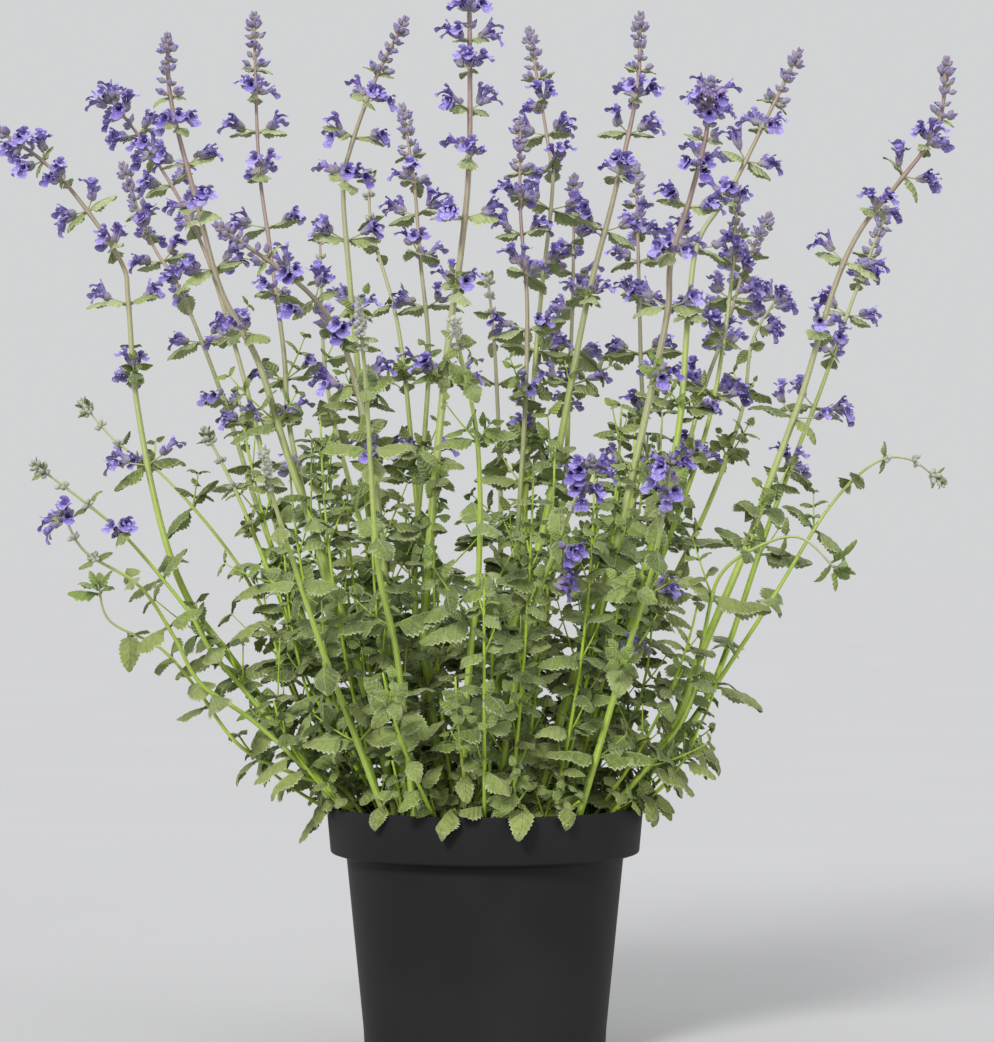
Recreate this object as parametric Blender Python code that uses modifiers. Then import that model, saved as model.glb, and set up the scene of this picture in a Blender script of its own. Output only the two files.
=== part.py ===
"""Potted catmint: a black nursery pot of soil with a clump of leafy, flowering shoots.

Metres, +Z up. The origin is the centre of the pot's flat base, and -Y is the front.
Every shoot is one grown piece: a square stem that bears opposite pairs of toothed leaves and,
towards its tip, whorls of two-lipped flowers. The flowering top of a long shoot is a node of its own.
"""

import itertools
import math
import random
from collections import namedtuple

import bmesh
import bpy
import numpy as np
from mathutils import Matrix, Vector

MM = 0.001
SEED = 7
WELD = 0.00001

# The pot
POT_HEIGHT = 0.150
RIM_RADIUS = 0.095
RIM_FOOT_RADIUS = 0.0925
RIM_DEPTH = 0.028
SHOULDER_RADIUS = 0.083
SHOULDER_DROP = 0.003
WALL = 0.0018
HEEL_HEIGHT = 0.016
HEEL_RADIUS = 0.0722
BASE_RADIUS = 0.066
POT_SIDES = 32
DRAIN_HOLES = 6
DRAIN_RADIUS = 0.006
DRAIN_CIRCLE = 0.047

# The soil, and how the stems stand in it
CLEARANCE = 0.0003
SOIL_TOP = 0.137
ROOT_DEPTH = 0.010
ROOT_CIRCLE = 0.076
HOLE_RADIUS = 0.0042

# The shoots' routes are read from the front, from this far away and at this height
EYE_DISTANCE = 2.1
EYE_HEIGHT = 0.320

# Stems
STEP = 0.004
STEM_RADIUS = 0.0026
TIP_RADIUS = 0.0009
STEM_POINTS = 6
SPIKE_POINTS = 4
TIP_LENGTH = 0.007
TIP_BUD_RADIUS = 0.0022
SHOOT_CLEARANCE = 0.0085
SPREAD_ROUNDS = 60
SPREAD_REACH = 0.045

# Nodes, counted from a shoot's tip down. The gap between them grows to its longest.
FIRST_GAP = 0.009
GAP_GROWTH = {"spike": 1.25, "buds": 1.42, "leaves": 1.42}
LONGEST_GAP = 0.060
LOWEST_NODE = 0.022
NODE_TURN = math.radians(90)

# Leaves: the longest are low down, and the first pairs below a tip are small.
LEAF_LENGTH = 0.035
BRACT_LENGTH = 0.012
FULL_LEAF_HEIGHT = 0.300
BRACT_HEIGHT = 0.470
YOUNG_LEAF = 0.010
YOUNG_GROWTH = 0.0042
SMALLEST_BLADE = 0.020
RIDGE = 0.0010
LEAF_RISE = math.radians(30)
# One side of a blade, as shares of its length (along, out): tooth, notch, tooth
BLADE_SIDE = ((0.24, 0.36), (0.46, 0.27), (0.62, 0.31))
BLADE_MIDDLE = 0.5
BLADE_FOLD = 0.15

# Flowers: a few nodes of buds at a tip, then open flowers down to the last height where any grow
BUD_NODES = {"spike": 3, "buds": 1, "leaves": 0}
SPIKE_NODES = 7
LOWEST_FLOWER = 0.345
FLOWER_LENGTH = 0.0150
FLOWER_MOUTH = 0.0036
BUD_LENGTH = 0.0068
BUD_MOUTH = 0.0022
CYME_SPREAD = math.radians(24)
FLOWER_RISE = math.radians(34)

# Free space is kept in cubes of this size
CELL = 0.0021
LEAF_CLEARANCE = 0.0015
JOINT_ZONE = 0.0065

Shoot = namedtuple("Shoot", "name bears lean route")
Node = namedtuple("Node", "number run at up out size blooms")
Leaf = namedtuple("Leaf", "at along across normal length droop")
Flower = namedtuple("Flower", "at way length mouth")

# What a shoot bears, how far back its tip leans (forward is negative), and its route as seen
# from the front, root first: across and up from the centre of the pot's base, in millimetres.
ROUTES = (
    ("spike", -30, ((-66, 136), (-117, 191), (-154, 240), (-178, 273), (-195, 320), (-209, 392),
                    (-214, 452), (-218, 475), (-243, 512), (-264, 535), (-294, 556))),
    ("spike", 80, ((-60, 136), (-87, 200), (-120, 296), (-137, 374), (-152, 431), (-171, 488),
                   (-198, 537), (-228, 577))),
    ("spike", 150, ((-54, 136), (-84, 188), (-111, 260), (-134, 320), (-158, 395), (-183, 458),
                    (-201, 488), (-218, 533))),
    ("spike", -120, ((-50, 136), (-63, 188), (-93, 287), (-119, 362), (-136, 416), (-158, 458),
                     (-172, 509), (-188, 572), (-190, 610))),
    ("spike", 90, ((-46, 136), (-78, 218), (-93, 272), (-116, 368), (-121, 422), (-129, 482),
                   (-136, 536), (-139, 623))),
    ("spike", -150, ((-44, 136), (-63, 320), (-68, 362), (-82, 419), (-96, 446), (-117, 467),
                     (-160, 497))),
    ("spike", -60, ((-34, 136), (-54, 212), (-69, 320), (-75, 398), (-81, 464), (-85, 518),
                    (-81, 542), (-66, 584), (-48, 620))),
    ("spike", 120, ((-28, 136), (-42, 272), (-37, 362), (-34, 422), (-39, 476), (-43, 524),
                    (-50, 568))),
    ("spike", -110, ((-22, 136), (-34, 224), (-36, 260), (-32, 320), (-22, 425), (-14, 482),
                     (-9, 542), (-9, 645))),
    ("spike", 90, ((10, 136), (12, 212), (20, 320), (24, 392), (25, 452), (21, 506), (21, 560))),
    ("spike", 180, ((18, 136), (24, 332), (28, 392), (33, 452), (40, 518), (38, 542), (26, 614))),
    ("spike", 50, ((-4, 136), (3, 200), (24, 278), (36, 320), (54, 416), (64, 464), (78, 518),
                   (91, 578), (93, 623))),
    ("spike", 220, ((16, 136), (45, 320), (50, 404), (52, 452), (53, 526))),
    ("spike", -150, ((24, 136), (51, 218), (66, 260), (81, 314), (100, 398), (110, 446), (112, 476),
                     (123, 512), (133, 551), (136, 584))),
    ("spike", 30, ((42, 136), (69, 212), (87, 260), (102, 314), (116, 374), (122, 446), (128, 488),
                   (147, 518), (171, 566), (188, 601))),
    ("spike", -40, ((68, 136), (108, 188), (129, 239), (156, 302), (171, 344), (189, 392), (209, 458),
                    (225, 494), (249, 524), (272, 557), (277, 596))),
    ("spike", 80, ((58, 136), (99, 170), (135, 218), (171, 320), (201, 398), (218, 446), (234, 488),
                   (241, 506))),
    ("spike", 160, ((32, 136), (80, 300), (94, 362), (93, 420), (91, 500), (90, 533))),
    ("spike", 130, ((50, 136), (104, 300), (129, 392), (144, 434), (156, 473), (170, 503))),
    ("spike", 70, ((48, 136), (84, 240), (129, 362), (144, 434), (150, 494), (150, 521))),
    ("buds", -210, ((-40, 136), (-52, 236), (-64, 296), (-71, 404), (-76, 455))),
    ("buds", -230, ((-14, 136), (-10, 224), (-3, 296), (-4, 368), (-15, 425), (-18, 442))),
    ("buds", 210, ((38, 136), (120, 300), (152, 380), (160, 428), (176, 456))),
    ("buds", 20, ((74, 136), (117, 191), (156, 248), (177, 281), (207, 329), (234, 355), (255, 357),
                  (274, 343))),
    ("buds", -80, ((-72, 136), (-120, 191), (-162, 239), (-178, 266), (-213, 308), (-237, 329),
                   (-270, 354))),
    ("buds", 90, ((-64, 136), (-102, 191), (-129, 257), (-152, 299), (-192, 346), (-222, 368),
                  (-242, 391))),
    ("buds", -120, ((-66, 136), (-134, 196), (-170, 222), (-186, 250), (-207, 281), (-240, 302),
                    (-254, 328))),
    ("leaves", -50, ((-68, 136), (-86, 160), (-111, 167), (-147, 185), (-174, 221), (-195, 244),
                     (-225, 260), (-232, 282))),
    ("leaves", -100, ((64, 136), (118, 200), (131, 250), (141, 287), (165, 305), (190, 310),
                      (212, 290))),
    ("buds", 230, ((-30, 136), (-70, 300), (-95, 400), (-100, 494))),
    ("buds", 240, ((2, 136), (9, 300), (6, 410), (1, 467))),
    ("buds", 140, ((-18, 136), (-38, 300), (-51, 428), (-68, 494), (-70, 529))),
    ("buds", -180, ((4, 136), (24, 250), (45, 308), (64, 356))),
    ("buds", -190, ((52, 136), (84, 236), (102, 296), (113, 358))),
    ("buds", -190, ((-54, 136), (-81, 200), (-99, 248), (-126, 332), (-132, 365))),
    ("buds", 30, ((-58, 136), (-117, 260), (-147, 332), (-168, 374))),
)


def shoots():
    """The shoots by name, from the table of routes."""
    return [Shoot(f"{number + 1:02d}", *row) for number, row in enumerate(ROUTES)]


def unit(vector):
    return vector / max(np.linalg.norm(vector), 1e-9)


def smooth(points):
    """Points every STEP along a smooth curve through these."""
    ends = np.vstack([2 * points[0] - points[1], points, 2 * points[-1] - points[-2]])
    shares = np.linspace(0, 1, 24, endpoint=False)[:, None]
    pieces = [
        0.5 * (2 * b + (c - a) * shares + (2 * a - 5 * b + 4 * c - d) * shares**2
               + (3 * b - a - 3 * c + d) * shares**3)
        for a, b, c, d in zip(ends, ends[1:], ends[2:], ends[3:])
    ]
    fine = np.vstack([*pieces, points[-1:]])
    run = np.concatenate([[0], np.cumsum(np.linalg.norm(np.diff(fine, axis=0), axis=1))])
    even = np.linspace(0, run[-1], round(run[-1] / STEP) + 1)
    return np.column_stack([np.interp(even, run, fine[:, k]) for k in range(3)])


def centre_line(shoot):
    """A shoot's line in space. The seen route is carried back or forward along the line of sight."""
    seen = np.array(shoot.route, float) * MM
    lean = shoot.lean * MM
    root_back = min(0.3 * abs(lean), math.sqrt(ROOT_CIRCLE**2 - seen[0, 0] ** 2))
    root = np.array([seen[0, 0], math.copysign(root_back, lean), SOIL_TOP])
    risen = (np.arange(1, len(seen)) / (len(seen) - 1)) ** 1.15
    back = root[1] + (lean - root[1]) * risen
    scale = 1 + back / EYE_DISTANCE
    across = seen[1:, 0] * scale
    up = EYE_HEIGHT + (seen[1:, 1] - EYE_HEIGHT) * scale
    return smooth(np.vstack([root, np.column_stack([across, back, up])]))


def bend_clear(lines):
    """Pushes lines that pass too close to each other apart, forward and back, over a smooth stretch."""
    for _ in range(SPREAD_ROUNDS):
        for first, second in itertools.combinations(lines, 2):
            apart = np.linalg.norm(first[:, None] - second[None], axis=2)
            i, j = np.unravel_index(apart.argmin(), apart.shape)
            short = SHOOT_CLEARANCE - apart[i, j]
            if short <= 0:
                continue
            way = math.copysign(0.6 * short, first[i, 1] - second[j, 1])
            for line, near, push in ((first, i, way), (second, j, -way)):
                steps = (np.arange(len(line)) - near) * STEP / SPREAD_REACH
                line[:, 1] += push * np.exp(-(steps**2))


def straight_runs(shoot, line):
    """The runs along a line where its faceted stem bends, and where the flowering top begins, if any."""
    length = (len(line) - 1) * STEP
    if shoot.bears != "spike":
        return np.linspace(0, length, STEM_POINTS), None
    runs = list(node_runs(shoot, length))
    top = (runs[SPIKE_NODES - 1] + runs[SPIKE_NODES]) / 2
    below = np.linspace(0, top, STEM_POINTS)
    above = np.linspace(top, length, SPIKE_POINTS)
    return np.concatenate([below, above[1:]]), top


def at_run(line, runs):
    """The places on a line at these runs."""
    grid = np.arange(len(line)) * STEP
    return np.column_stack([np.interp(runs, grid, line[:, k]) for k in range(3)])


def faceted(shoot, line):
    """The line with straight stretches between the points where its stem bends."""
    knots, _ = straight_runs(shoot, line)
    places = at_run(line, knots)
    grid = np.arange(len(line)) * STEP
    return np.column_stack([np.interp(grid, knots, places[:, k]) for k in range(3)])


def stem_radius(share):
    """Half a stem's thickness, from its root at share 0 to its tip at share 1."""
    return TIP_RADIUS + (STEM_RADIUS - TIP_RADIUS) * (1 - share) ** 0.8


def node_runs(shoot, length):
    """How far up from the root each node lies, from the tip down."""
    run, gap = length, FIRST_GAP
    while run - gap > LOWEST_NODE:
        run -= gap
        yield run
        gap = min(gap * GAP_GROWTH[shoot.bears], LONGEST_GAP)


def leaf_size(number, height):
    """A leaf's length: by its height, and by its age, which is its node's count from the tip."""
    share = np.interp(height, (FULL_LEAF_HEIGHT, BRACT_HEIGHT), (1, 0))
    return min(BRACT_LENGTH + (LEAF_LENGTH - BRACT_LENGTH) * share, YOUNG_LEAF + YOUNG_GROWTH * number)


def blooms_at(shoot, number, height):
    """What grows in the axils of a node's leaves."""
    if number < BUD_NODES[shoot.bears]:
        return "buds"
    flowers = number < SPIKE_NODES or height > LOWEST_FLOWER
    return "flowers" if flowers and shoot.bears == "spike" else "nothing"


def nodes_of(shoot, line, draw):
    """The nodes of a shoot, with the way that each one's first leaf points."""
    turn = draw.uniform(-0.5, 0.5)
    found = []
    for number, run in enumerate(node_runs(shoot, (len(line) - 1) * STEP)):
        before, at, after = at_run(line, [run - 2 * STEP, run, run + 2 * STEP])
        up = unit(after - before)
        level = unit(np.cross(np.array([0, 1.0, 0]), up))
        angle = turn + NODE_TURN * number + draw.uniform(-0.2, 0.2)
        out = level * math.cos(angle) + np.cross(up, level) * math.sin(angle)
        size = leaf_size(number, at[2])
        found.append(Node(number, run, at, up, out, size, blooms_at(shoot, number, at[2])))
    return found


def blade_points(leaf):
    """Points over a blade, close enough together to stand for it when free space is looked for."""
    shares = np.linspace(0, 1, max(3, int(leaf.length / CELL)))
    points = []
    for share in shares:
        half = 0.37 * math.sin(math.pi * min(1, share * 1.02) ** 0.7)
        across = np.arange(-half, half + 1e-6, CELL / leaf.length) if half > 0.03 else [0.0]
        points += [blade_at(leaf, share, out) for out in across]
    return np.array(points)


def blade_at(leaf, share, out):
    """A point of a leaf's blade: share of its length along, and out from the midrib. It arches down."""
    drop = -leaf.droop * share**2 - BLADE_FOLD * abs(out)
    place = leaf.along * share * (1 - 0.25 * leaf.droop * share) + leaf.across * out
    return leaf.at + leaf.length * (place + leaf.normal * drop)


def clear_of_pot(points):
    """Which points are above the soil inside the pot, above its rim, or outside it."""
    radius = np.hypot(points[:, 0], points[:, 1])
    above_rim = points[:, 2] > POT_HEIGHT + LEAF_CLEARANCE
    outside = radius > RIM_RADIUS + LEAF_CLEARANCE
    inside = radius < inner_radius(SOIL_TOP) - LEAF_CLEARANCE
    return above_rim | outside | (inside & (points[:, 2] > SOIL_TOP + LEAF_CLEARANCE))


class FreeSpace:
    """Cubes of space that stems, leaves and flowers have taken, so that nothing grows through them."""

    def __init__(self):
        self.stems = {}
        self.taken = set()
        self.around = list(itertools.product((-1, 0, 1), repeat=3))

    def cells(self, points, root):
        """The cubes that points fall in, but for those near the root that they grow from."""
        away = points[np.linalg.norm(points - root, axis=1) > JOINT_ZONE]
        return {tuple(cell) for cell in np.floor(away / CELL).astype(int).tolist()}

    def near(self, cells):
        return {(x + i, y + j, z + k) for x, y, z in cells for i, j, k in self.around}

    def add_stem(self, line, name):
        runs = np.arange(0, (len(line) - 1) * STEP, CELL / 2)
        for cell in self.near(self.cells(at_run(line, runs), np.array([0, 0, -1.0]))):
            self.stems[cell] = name

    def is_free(self, points, root, name):
        """Whether nothing but the stem of that name is near the points."""
        cells = self.cells(points, root)
        if not clear_of_pot(points).all() or not cells.isdisjoint(self.taken):
            return False
        return all(self.stems.get(cell, name) == name for cell in cells)

    def take(self, points, root):
        self.taken |= self.near(self.cells(points, root))


def turned_out(node, turn, rise, side):
    """A way out of a node: turned round the stem, raised towards the tip, on one side or the other."""
    out = node.out * math.cos(turn) + np.cross(node.up, node.out) * math.sin(turn)
    return unit(side * out * math.cos(rise) + node.up * math.sin(rise))


def find_leaf(space, name, node, side, draw):
    """A leaf on one side of a node, turned or lowered until it hangs free. None if it can't."""
    length = node.size * draw.uniform(0.88, 1.08)
    rise = LEAF_RISE + draw.uniform(-0.25, 0.15)
    droop = draw.uniform(0.2, 0.5)
    for turn, lower in ((0, 0), (0.4, 0), (-0.4, 0), (0, 0.35), (0, -0.35), (0.75, 0.2), (-0.75, 0.2)):
        along = turned_out(node, turn, rise - lower, side)
        across = unit(np.cross(node.up, along))
        leaf = Leaf(node.at, along, across, np.cross(along, across), length, droop)
        points = blade_points(leaf)
        if space.is_free(points, node.at, name):
            space.take(points, node.at)
            return leaf
    return None


def find_flowers(space, name, node, draw):
    """A whorl: on each side of the stem a few flowers, in the axil of a leaf, where there is room."""
    is_bud = node.blooms == "buds"
    turns = (-CYME_SPREAD, CYME_SPREAD) if not is_bud and node.number < SPIKE_NODES else (0,)
    for side, turn in itertools.product((1, -1), turns):
        way = turned_out(node, turn + draw.uniform(-0.1, 0.1), FLOWER_RISE + draw.uniform(-0.2, 0.2), side)
        stalk = 0.66 + 0.07 * min(node.number, 6)
        length, mouth = (BUD_LENGTH, BUD_MOUTH) if is_bud else (FLOWER_LENGTH * stalk, FLOWER_MOUTH)
        flower = Flower(node.at, way, length, mouth)
        points = flower_points(flower)
        if space.is_free(points, node.at, name):
            space.take(points, node.at)
            yield flower


def flower_points(flower):
    """Points along a flower and round its mouth, to look for free space with."""
    level = unit(np.cross(flower.way, np.array([0, 0, 1.0])))
    above = np.cross(level, flower.way)
    along = flower.at + flower.way * np.linspace(0.4, 1.1, 6)[:, None] * flower.length
    mouth = [along[-2] + flower.mouth * (level * math.cos(k) + above * math.sin(k)) for k in range(6)]
    return np.vstack([along, mouth])


def grow_plan(grown, lines):
    """The leaves and flowers of every node of every shoot, placed so that no two shoots cross."""
    space = FreeSpace()
    for shoot, line in zip(grown, lines):
        space.add_stem(line, shoot.name)
    plan = []
    for shoot, line in zip(grown, lines):
        draw = random.Random(f"{SEED} {shoot.name}")
        rows = []
        for node in nodes_of(shoot, line, draw):
            flowers = []
            if node.blooms != "nothing":
                flowers = list(find_flowers(space, shoot.name, node, draw))
            leaves = []
            if node.size > SMALLEST_BLADE:
                found = [find_leaf(space, shoot.name, node, side, draw) for side in (1, -1)]
                leaves = [leaf for leaf in found if leaf]
            rows.append((node, leaves, flowers))
        plan.append(rows)
    return plan


def new_object(name, mesh, collection):
    obj = bpy.data.objects.new(name, mesh)
    collection.objects.link(obj)
    return obj


def drop_scraps(shape):
    """Deletes all but the largest piece whose faces join edge to edge."""
    unseen = set(shape.faces)
    pieces = []
    while unseen:
        piece = {unseen.pop()}
        rim = list(piece)
        while rim:
            joined = {other for face in rim for edge in face.edges for other in edge.link_faces}
            rim = list(joined - piece)
            piece |= joined
        unseen -= piece
        pieces.append(piece)
    pieces.sort(key=len)
    for piece in pieces[:-1]:
        bmesh.ops.delete(shape, geom=list(piece), context="FACES")


def clean(mesh, in_triangles=False):
    """Welds a mesh's doubled points, drops loose and spare ones, and says whether it is a closed solid."""
    shape = bmesh.new()
    shape.from_mesh(mesh)
    bmesh.ops.remove_doubles(shape, verts=shape.verts, dist=WELD)
    bmesh.ops.dissolve_degenerate(shape, edges=shape.edges, dist=WELD)
    loose = [edge for edge in shape.edges if not edge.link_faces]
    bmesh.ops.delete(shape, geom=loose, context="EDGES")
    spare = [vertex for vertex in shape.verts if len(vertex.link_edges) == 2]
    bmesh.ops.dissolve_verts(shape, verts=spare)
    drop_scraps(shape)
    bmesh.ops.recalc_face_normals(shape, faces=shape.faces)
    if in_triangles:
        bmesh.ops.triangulate(shape, faces=shape.faces)
    is_closed = all(len(edge.link_faces) == 2 for edge in shape.edges)
    is_solid = is_closed and shape.calc_volume(signed=True) > 0
    shape.to_mesh(mesh)
    shape.free()
    return is_solid


def stem_object(name, line, radii, collection):
    """A square stem: a tapering curve with a four-sided bevel, made a mesh with its caps welded."""
    curve = bpy.data.curves.new(name, "CURVE")
    curve.dimensions = "3D"
    curve.bevel_depth = 1.0
    curve.bevel_resolution = 0
    curve.use_fill_caps = True
    spline = curve.splines.new("POLY")
    spline.points.add(len(line) - 1)
    for point, place, radius in zip(spline.points, line, radii):
        point.co = (*place, 1)
        point.radius = radius
    guide = bpy.data.objects.new(name + "_line", curve)
    collection.objects.link(guide)
    graph = bpy.context.evaluated_depsgraph_get()
    mesh = bpy.data.meshes.new_from_object(guide.evaluated_get(graph))
    bpy.data.objects.remove(guide)
    clean(mesh)
    return new_object(name, mesh, collection)


def blade_object(leaf, collection):
    """A leaf as a thin solid: a ridged upper face over a plain arched one, meeting in a toothed edge."""
    half = [(0.0, 0.0), *BLADE_SIDE, (1.0, 0.0)]
    outline = half + [(along, -out) for along, out in BLADE_SIDE[::-1]]
    count = len(outline)
    points = [blade_at(leaf, *place) for place in outline]
    points.append(blade_at(leaf, BLADE_MIDDLE, 0.0) + leaf.normal * RIDGE)
    upper = [(count, corner, (corner + 1) % count) for corner in range(count)]
    lower = []
    for left in range(count // 2):
        corners = [left, left + 1, (count - left - 1) % count, (count - left) % count]
        lower.append(list(dict.fromkeys(corners)))
    mesh = bpy.data.meshes.new("blade")
    mesh.from_pydata([tuple(point) for point in points], [], upper + lower)
    clean(mesh)
    return new_object("blade", mesh, collection)


def flower_object(flower, collection):
    """A flower as a three-sided trumpet that widens outwards."""
    mesh = bpy.data.meshes.new("flower")
    shape = bmesh.new()
    bmesh.ops.create_cone(shape, cap_ends=True, segments=3, radius1=0, radius2=flower.mouth,
                          depth=flower.length)
    shape.to_mesh(mesh)
    shape.free()
    clean(mesh)
    made = new_object("flower", mesh, collection)
    middle = Matrix.Translation(Vector(flower.at + flower.way * flower.length / 2))
    made.matrix_world = middle @ Vector(flower.way).to_track_quat("Z", "Y").to_matrix().to_4x4()
    return made


def join(body, repeats):
    """Joins a collection of repeats to the body that they grow from, as one closed solid."""
    union = body.modifiers.new("join", "BOOLEAN")
    union.operation = "UNION"
    union.operand_type = "COLLECTION"
    union.collection = repeats
    for solver in ("EXACT", "MANIFOLD"):
        union.solver = solver
        graph = bpy.context.evaluated_depsgraph_get()
        joined = bpy.data.meshes.new_from_object(body.evaluated_get(graph))
        if clean(joined, in_triangles=True):
            break
    body.modifiers.clear()
    body.data = joined
    for repeat in list(repeats.objects):
        bpy.data.objects.remove(repeat)


def material(name, colour, roughness):
    made = bpy.data.materials.new(name)
    made.use_nodes = True
    surface = made.node_tree.nodes["Principled BSDF"]
    surface.inputs["Base Color"].default_value = (*colour, 1)
    surface.inputs["Roughness"].default_value = roughness
    surface.inputs["Metallic"].default_value = 0
    return made


def turned(name, profile, sides, collection):
    """A solid of revolution. The profile runs down the outside and up the inside, on the axis at both ends."""
    mesh = bpy.data.meshes.new(name)
    mesh.from_pydata([(radius, 0, height) for radius, height in profile],
                     [(k, k + 1) for k in range(len(profile) - 1)], [])
    obj = new_object(name, mesh, collection)
    screw = obj.modifiers.new("turn", "SCREW")
    screw.axis = "Z"
    screw.steps = screw.render_steps = sides
    screw.use_merge_vertices = True
    screw.merge_threshold = 0.0001
    return obj


def inside_profile():
    """The pot's inside from the rim down to the base, as (radius, height)."""
    rim_foot = POT_HEIGHT - RIM_DEPTH
    return [(RIM_RADIUS - WALL, POT_HEIGHT), (RIM_FOOT_RADIUS - WALL, rim_foot + WALL),
            (SHOULDER_RADIUS - WALL, rim_foot - SHOULDER_DROP + WALL),
            (HEEL_RADIUS - WALL, HEEL_HEIGHT), (BASE_RADIUS - WALL / 2, WALL)]


def inner_radius(height):
    """The pot's inside radius at a height."""
    radii, heights = zip(*inside_profile()[::-1])
    return float(np.interp(height, heights, radii))


def make_pot(collection, cutters):
    """The pot: a tapering wall with a stepped-out rim, a bevelled heel and a base with drain holes."""
    rim_foot = POT_HEIGHT - RIM_DEPTH
    outside = [(RIM_RADIUS, POT_HEIGHT), (RIM_FOOT_RADIUS, rim_foot),
               (SHOULDER_RADIUS, rim_foot - SHOULDER_DROP), (HEEL_RADIUS, HEEL_HEIGHT),
               (BASE_RADIUS, 0), (0, 0)]
    pot = turned("pot", [(0, WALL), *inside_profile()[::-1], *outside], POT_SIDES, collection)
    for hole in range(DRAIN_HOLES):
        angle = 2 * math.pi * hole / DRAIN_HOLES
        bpy.ops.mesh.primitive_cylinder_add(
            vertices=8, radius=DRAIN_RADIUS, depth=4 * WALL,
            location=(DRAIN_CIRCLE * math.cos(angle), DRAIN_CIRCLE * math.sin(angle), WALL / 2))
        cutter = bpy.context.object
        for owner in list(cutter.users_collection):
            owner.objects.unlink(cutter)
        cutters.objects.link(cutter)
        cut = pot.modifiers.new(f"drain_{hole}", "BOOLEAN")
        cut.operation = "DIFFERENCE"
        cut.object = cutter
    pot.data.materials.append(material("black_plastic", (0.028, 0.028, 0.030), 0.55))
    return pot


def make_soil(lines, collection, cutters):
    """The soil: it fills the pot to below the rim, with a plain square hole for each stem."""
    side = [(radius - 2 * CLEARANCE, height) for radius, height in inside_profile() if height < SOIL_TOP]
    side[-1] = (side[-1][0], WALL + CLEARANCE)
    edge = (inner_radius(SOIL_TOP) - 2 * CLEARANCE, SOIL_TOP)
    profile = [(0, SOIL_TOP), edge, *side, (0, WALL + CLEARANCE)]
    soil = turned("soil", profile, POT_SIDES, collection)
    holes = bpy.data.collections.new("stem_holes")
    cutters.children.link(holes)
    for number, line in enumerate(lines):
        top = Vector(line[0]) + Vector((0, 0, 2 * ROOT_DEPTH))
        foot = Vector(line[0]) - Vector((0, 0, ROOT_DEPTH + CLEARANCE))
        bpy.ops.mesh.primitive_cylinder_add(
            vertices=4, radius=HOLE_RADIUS, depth=top.z - foot.z,
            location=(top + foot) / 2)
        cutter = bpy.context.object
        cutter.name = f"hole_{number}"
        for owner in list(cutter.users_collection):
            owner.objects.unlink(cutter)
        holes.objects.link(cutter)
    cut = soil.modifiers.new("holes", "BOOLEAN")
    cut.operation = "DIFFERENCE"
    cut.operand_type = "COLLECTION"
    cut.collection = holes
    soil.data.materials.append(material("potting_soil", (0.045, 0.030, 0.020), 0.95))
    return soil


def stem_ends(shoot, line):
    """The pieces of a shoot: its leafy stem and, on a long one, its flowering top. Where each runs."""
    length = (len(line) - 1) * STEP
    _, top = straight_runs(shoot, line)
    if top is None:
        return [("stem", 0, length)]
    return [("stem", 0, top - CLEARANCE / 2), ("spike", top + CLEARANCE / 2, length)]


def stem_radii(shoot, runs, length):
    """The stem's half thickness at these runs. A budding tip swells just below its end."""
    radii = [stem_radius(run / length) for run in runs]
    if shoot.bears != "leaves" and runs[-1] == length:
        radii[-2] = TIP_BUD_RADIUS
    return radii


def make_shoot(shoot, line, rows, collection, repeats, looks):
    """A shoot's stem with its leaves and flowers, and the flowering top of a long shoot."""
    length = (len(line) - 1) * STEP
    knots, _ = straight_runs(shoot, line)
    for kind, start, end in stem_ends(shoot, line):
        runs = np.clip(knots[(knots > start - CLEARANCE) & (knots < end + CLEARANCE)], start, end)
        if end == length:
            runs = np.insert(runs, -1, length - TIP_LENGTH)
        places = at_run(line, runs)
        radii = stem_radii(shoot, runs, length)
        if kind == "stem":
            root = places[0] - np.array([0, 0, ROOT_DEPTH])
            places, radii = np.vstack([root, places]), [radii[0], *radii]
        body = stem_object(f"{kind}_{shoot.name}", places, radii, collection)
        for node, leaves, flowers in rows:
            if start < node.run < end:
                for leaf in leaves:
                    blade_object(leaf, repeats)
                for flower in flowers:
                    flower_object(flower, repeats)
        join(body, repeats)
        body.data.materials.clear()
        body.data.materials.append(looks[kind])


def main():
    for obj in list(bpy.data.objects):
        bpy.data.objects.remove(obj)
    plant = bpy.data.collections.new("potted_catmint")
    cutters = bpy.data.collections.new("cutters")
    repeats = bpy.data.collections.new("repeats")
    for collection in (plant, cutters, repeats):
        bpy.context.scene.collection.children.link(collection)
    looks = {"stem": material("leaf_green", (0.20, 0.33, 0.11), 0.65),
             "spike": material("flower_violet", (0.27, 0.22, 0.62), 0.60)}
    grown = shoots()
    lines = [centre_line(shoot) for shoot in grown]
    bend_clear(lines)
    lines = [faceted(shoot, line) for shoot, line in zip(grown, lines)]
    for shoot, line, rows in zip(grown, lines, grow_plan(grown, lines)):
        make_shoot(shoot, line, rows, plant, repeats, looks)
    make_pot(plant, cutters)
    make_soil(lines, plant, cutters)
    for cutter in cutters.all_objects:
        cutter.hide_render = True
        cutter.display_type = "WIRE"


main()
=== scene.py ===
"""The look of the potted catmint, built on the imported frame.

Each shoot grows here as it does in the solids: the same route, nodes, leaves and flowers. The square
stem gets its ridges, hairs and swollen nodes, the leaves their teeth and veins, and every whorl its
ribbed calyces and two-lipped corollas. Small shoots in the axils, woolly tips, the leafy growth between
the long shoots and the leaves over the rim are added.
"""

import itertools
import math
import random
from collections import namedtuple

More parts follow.
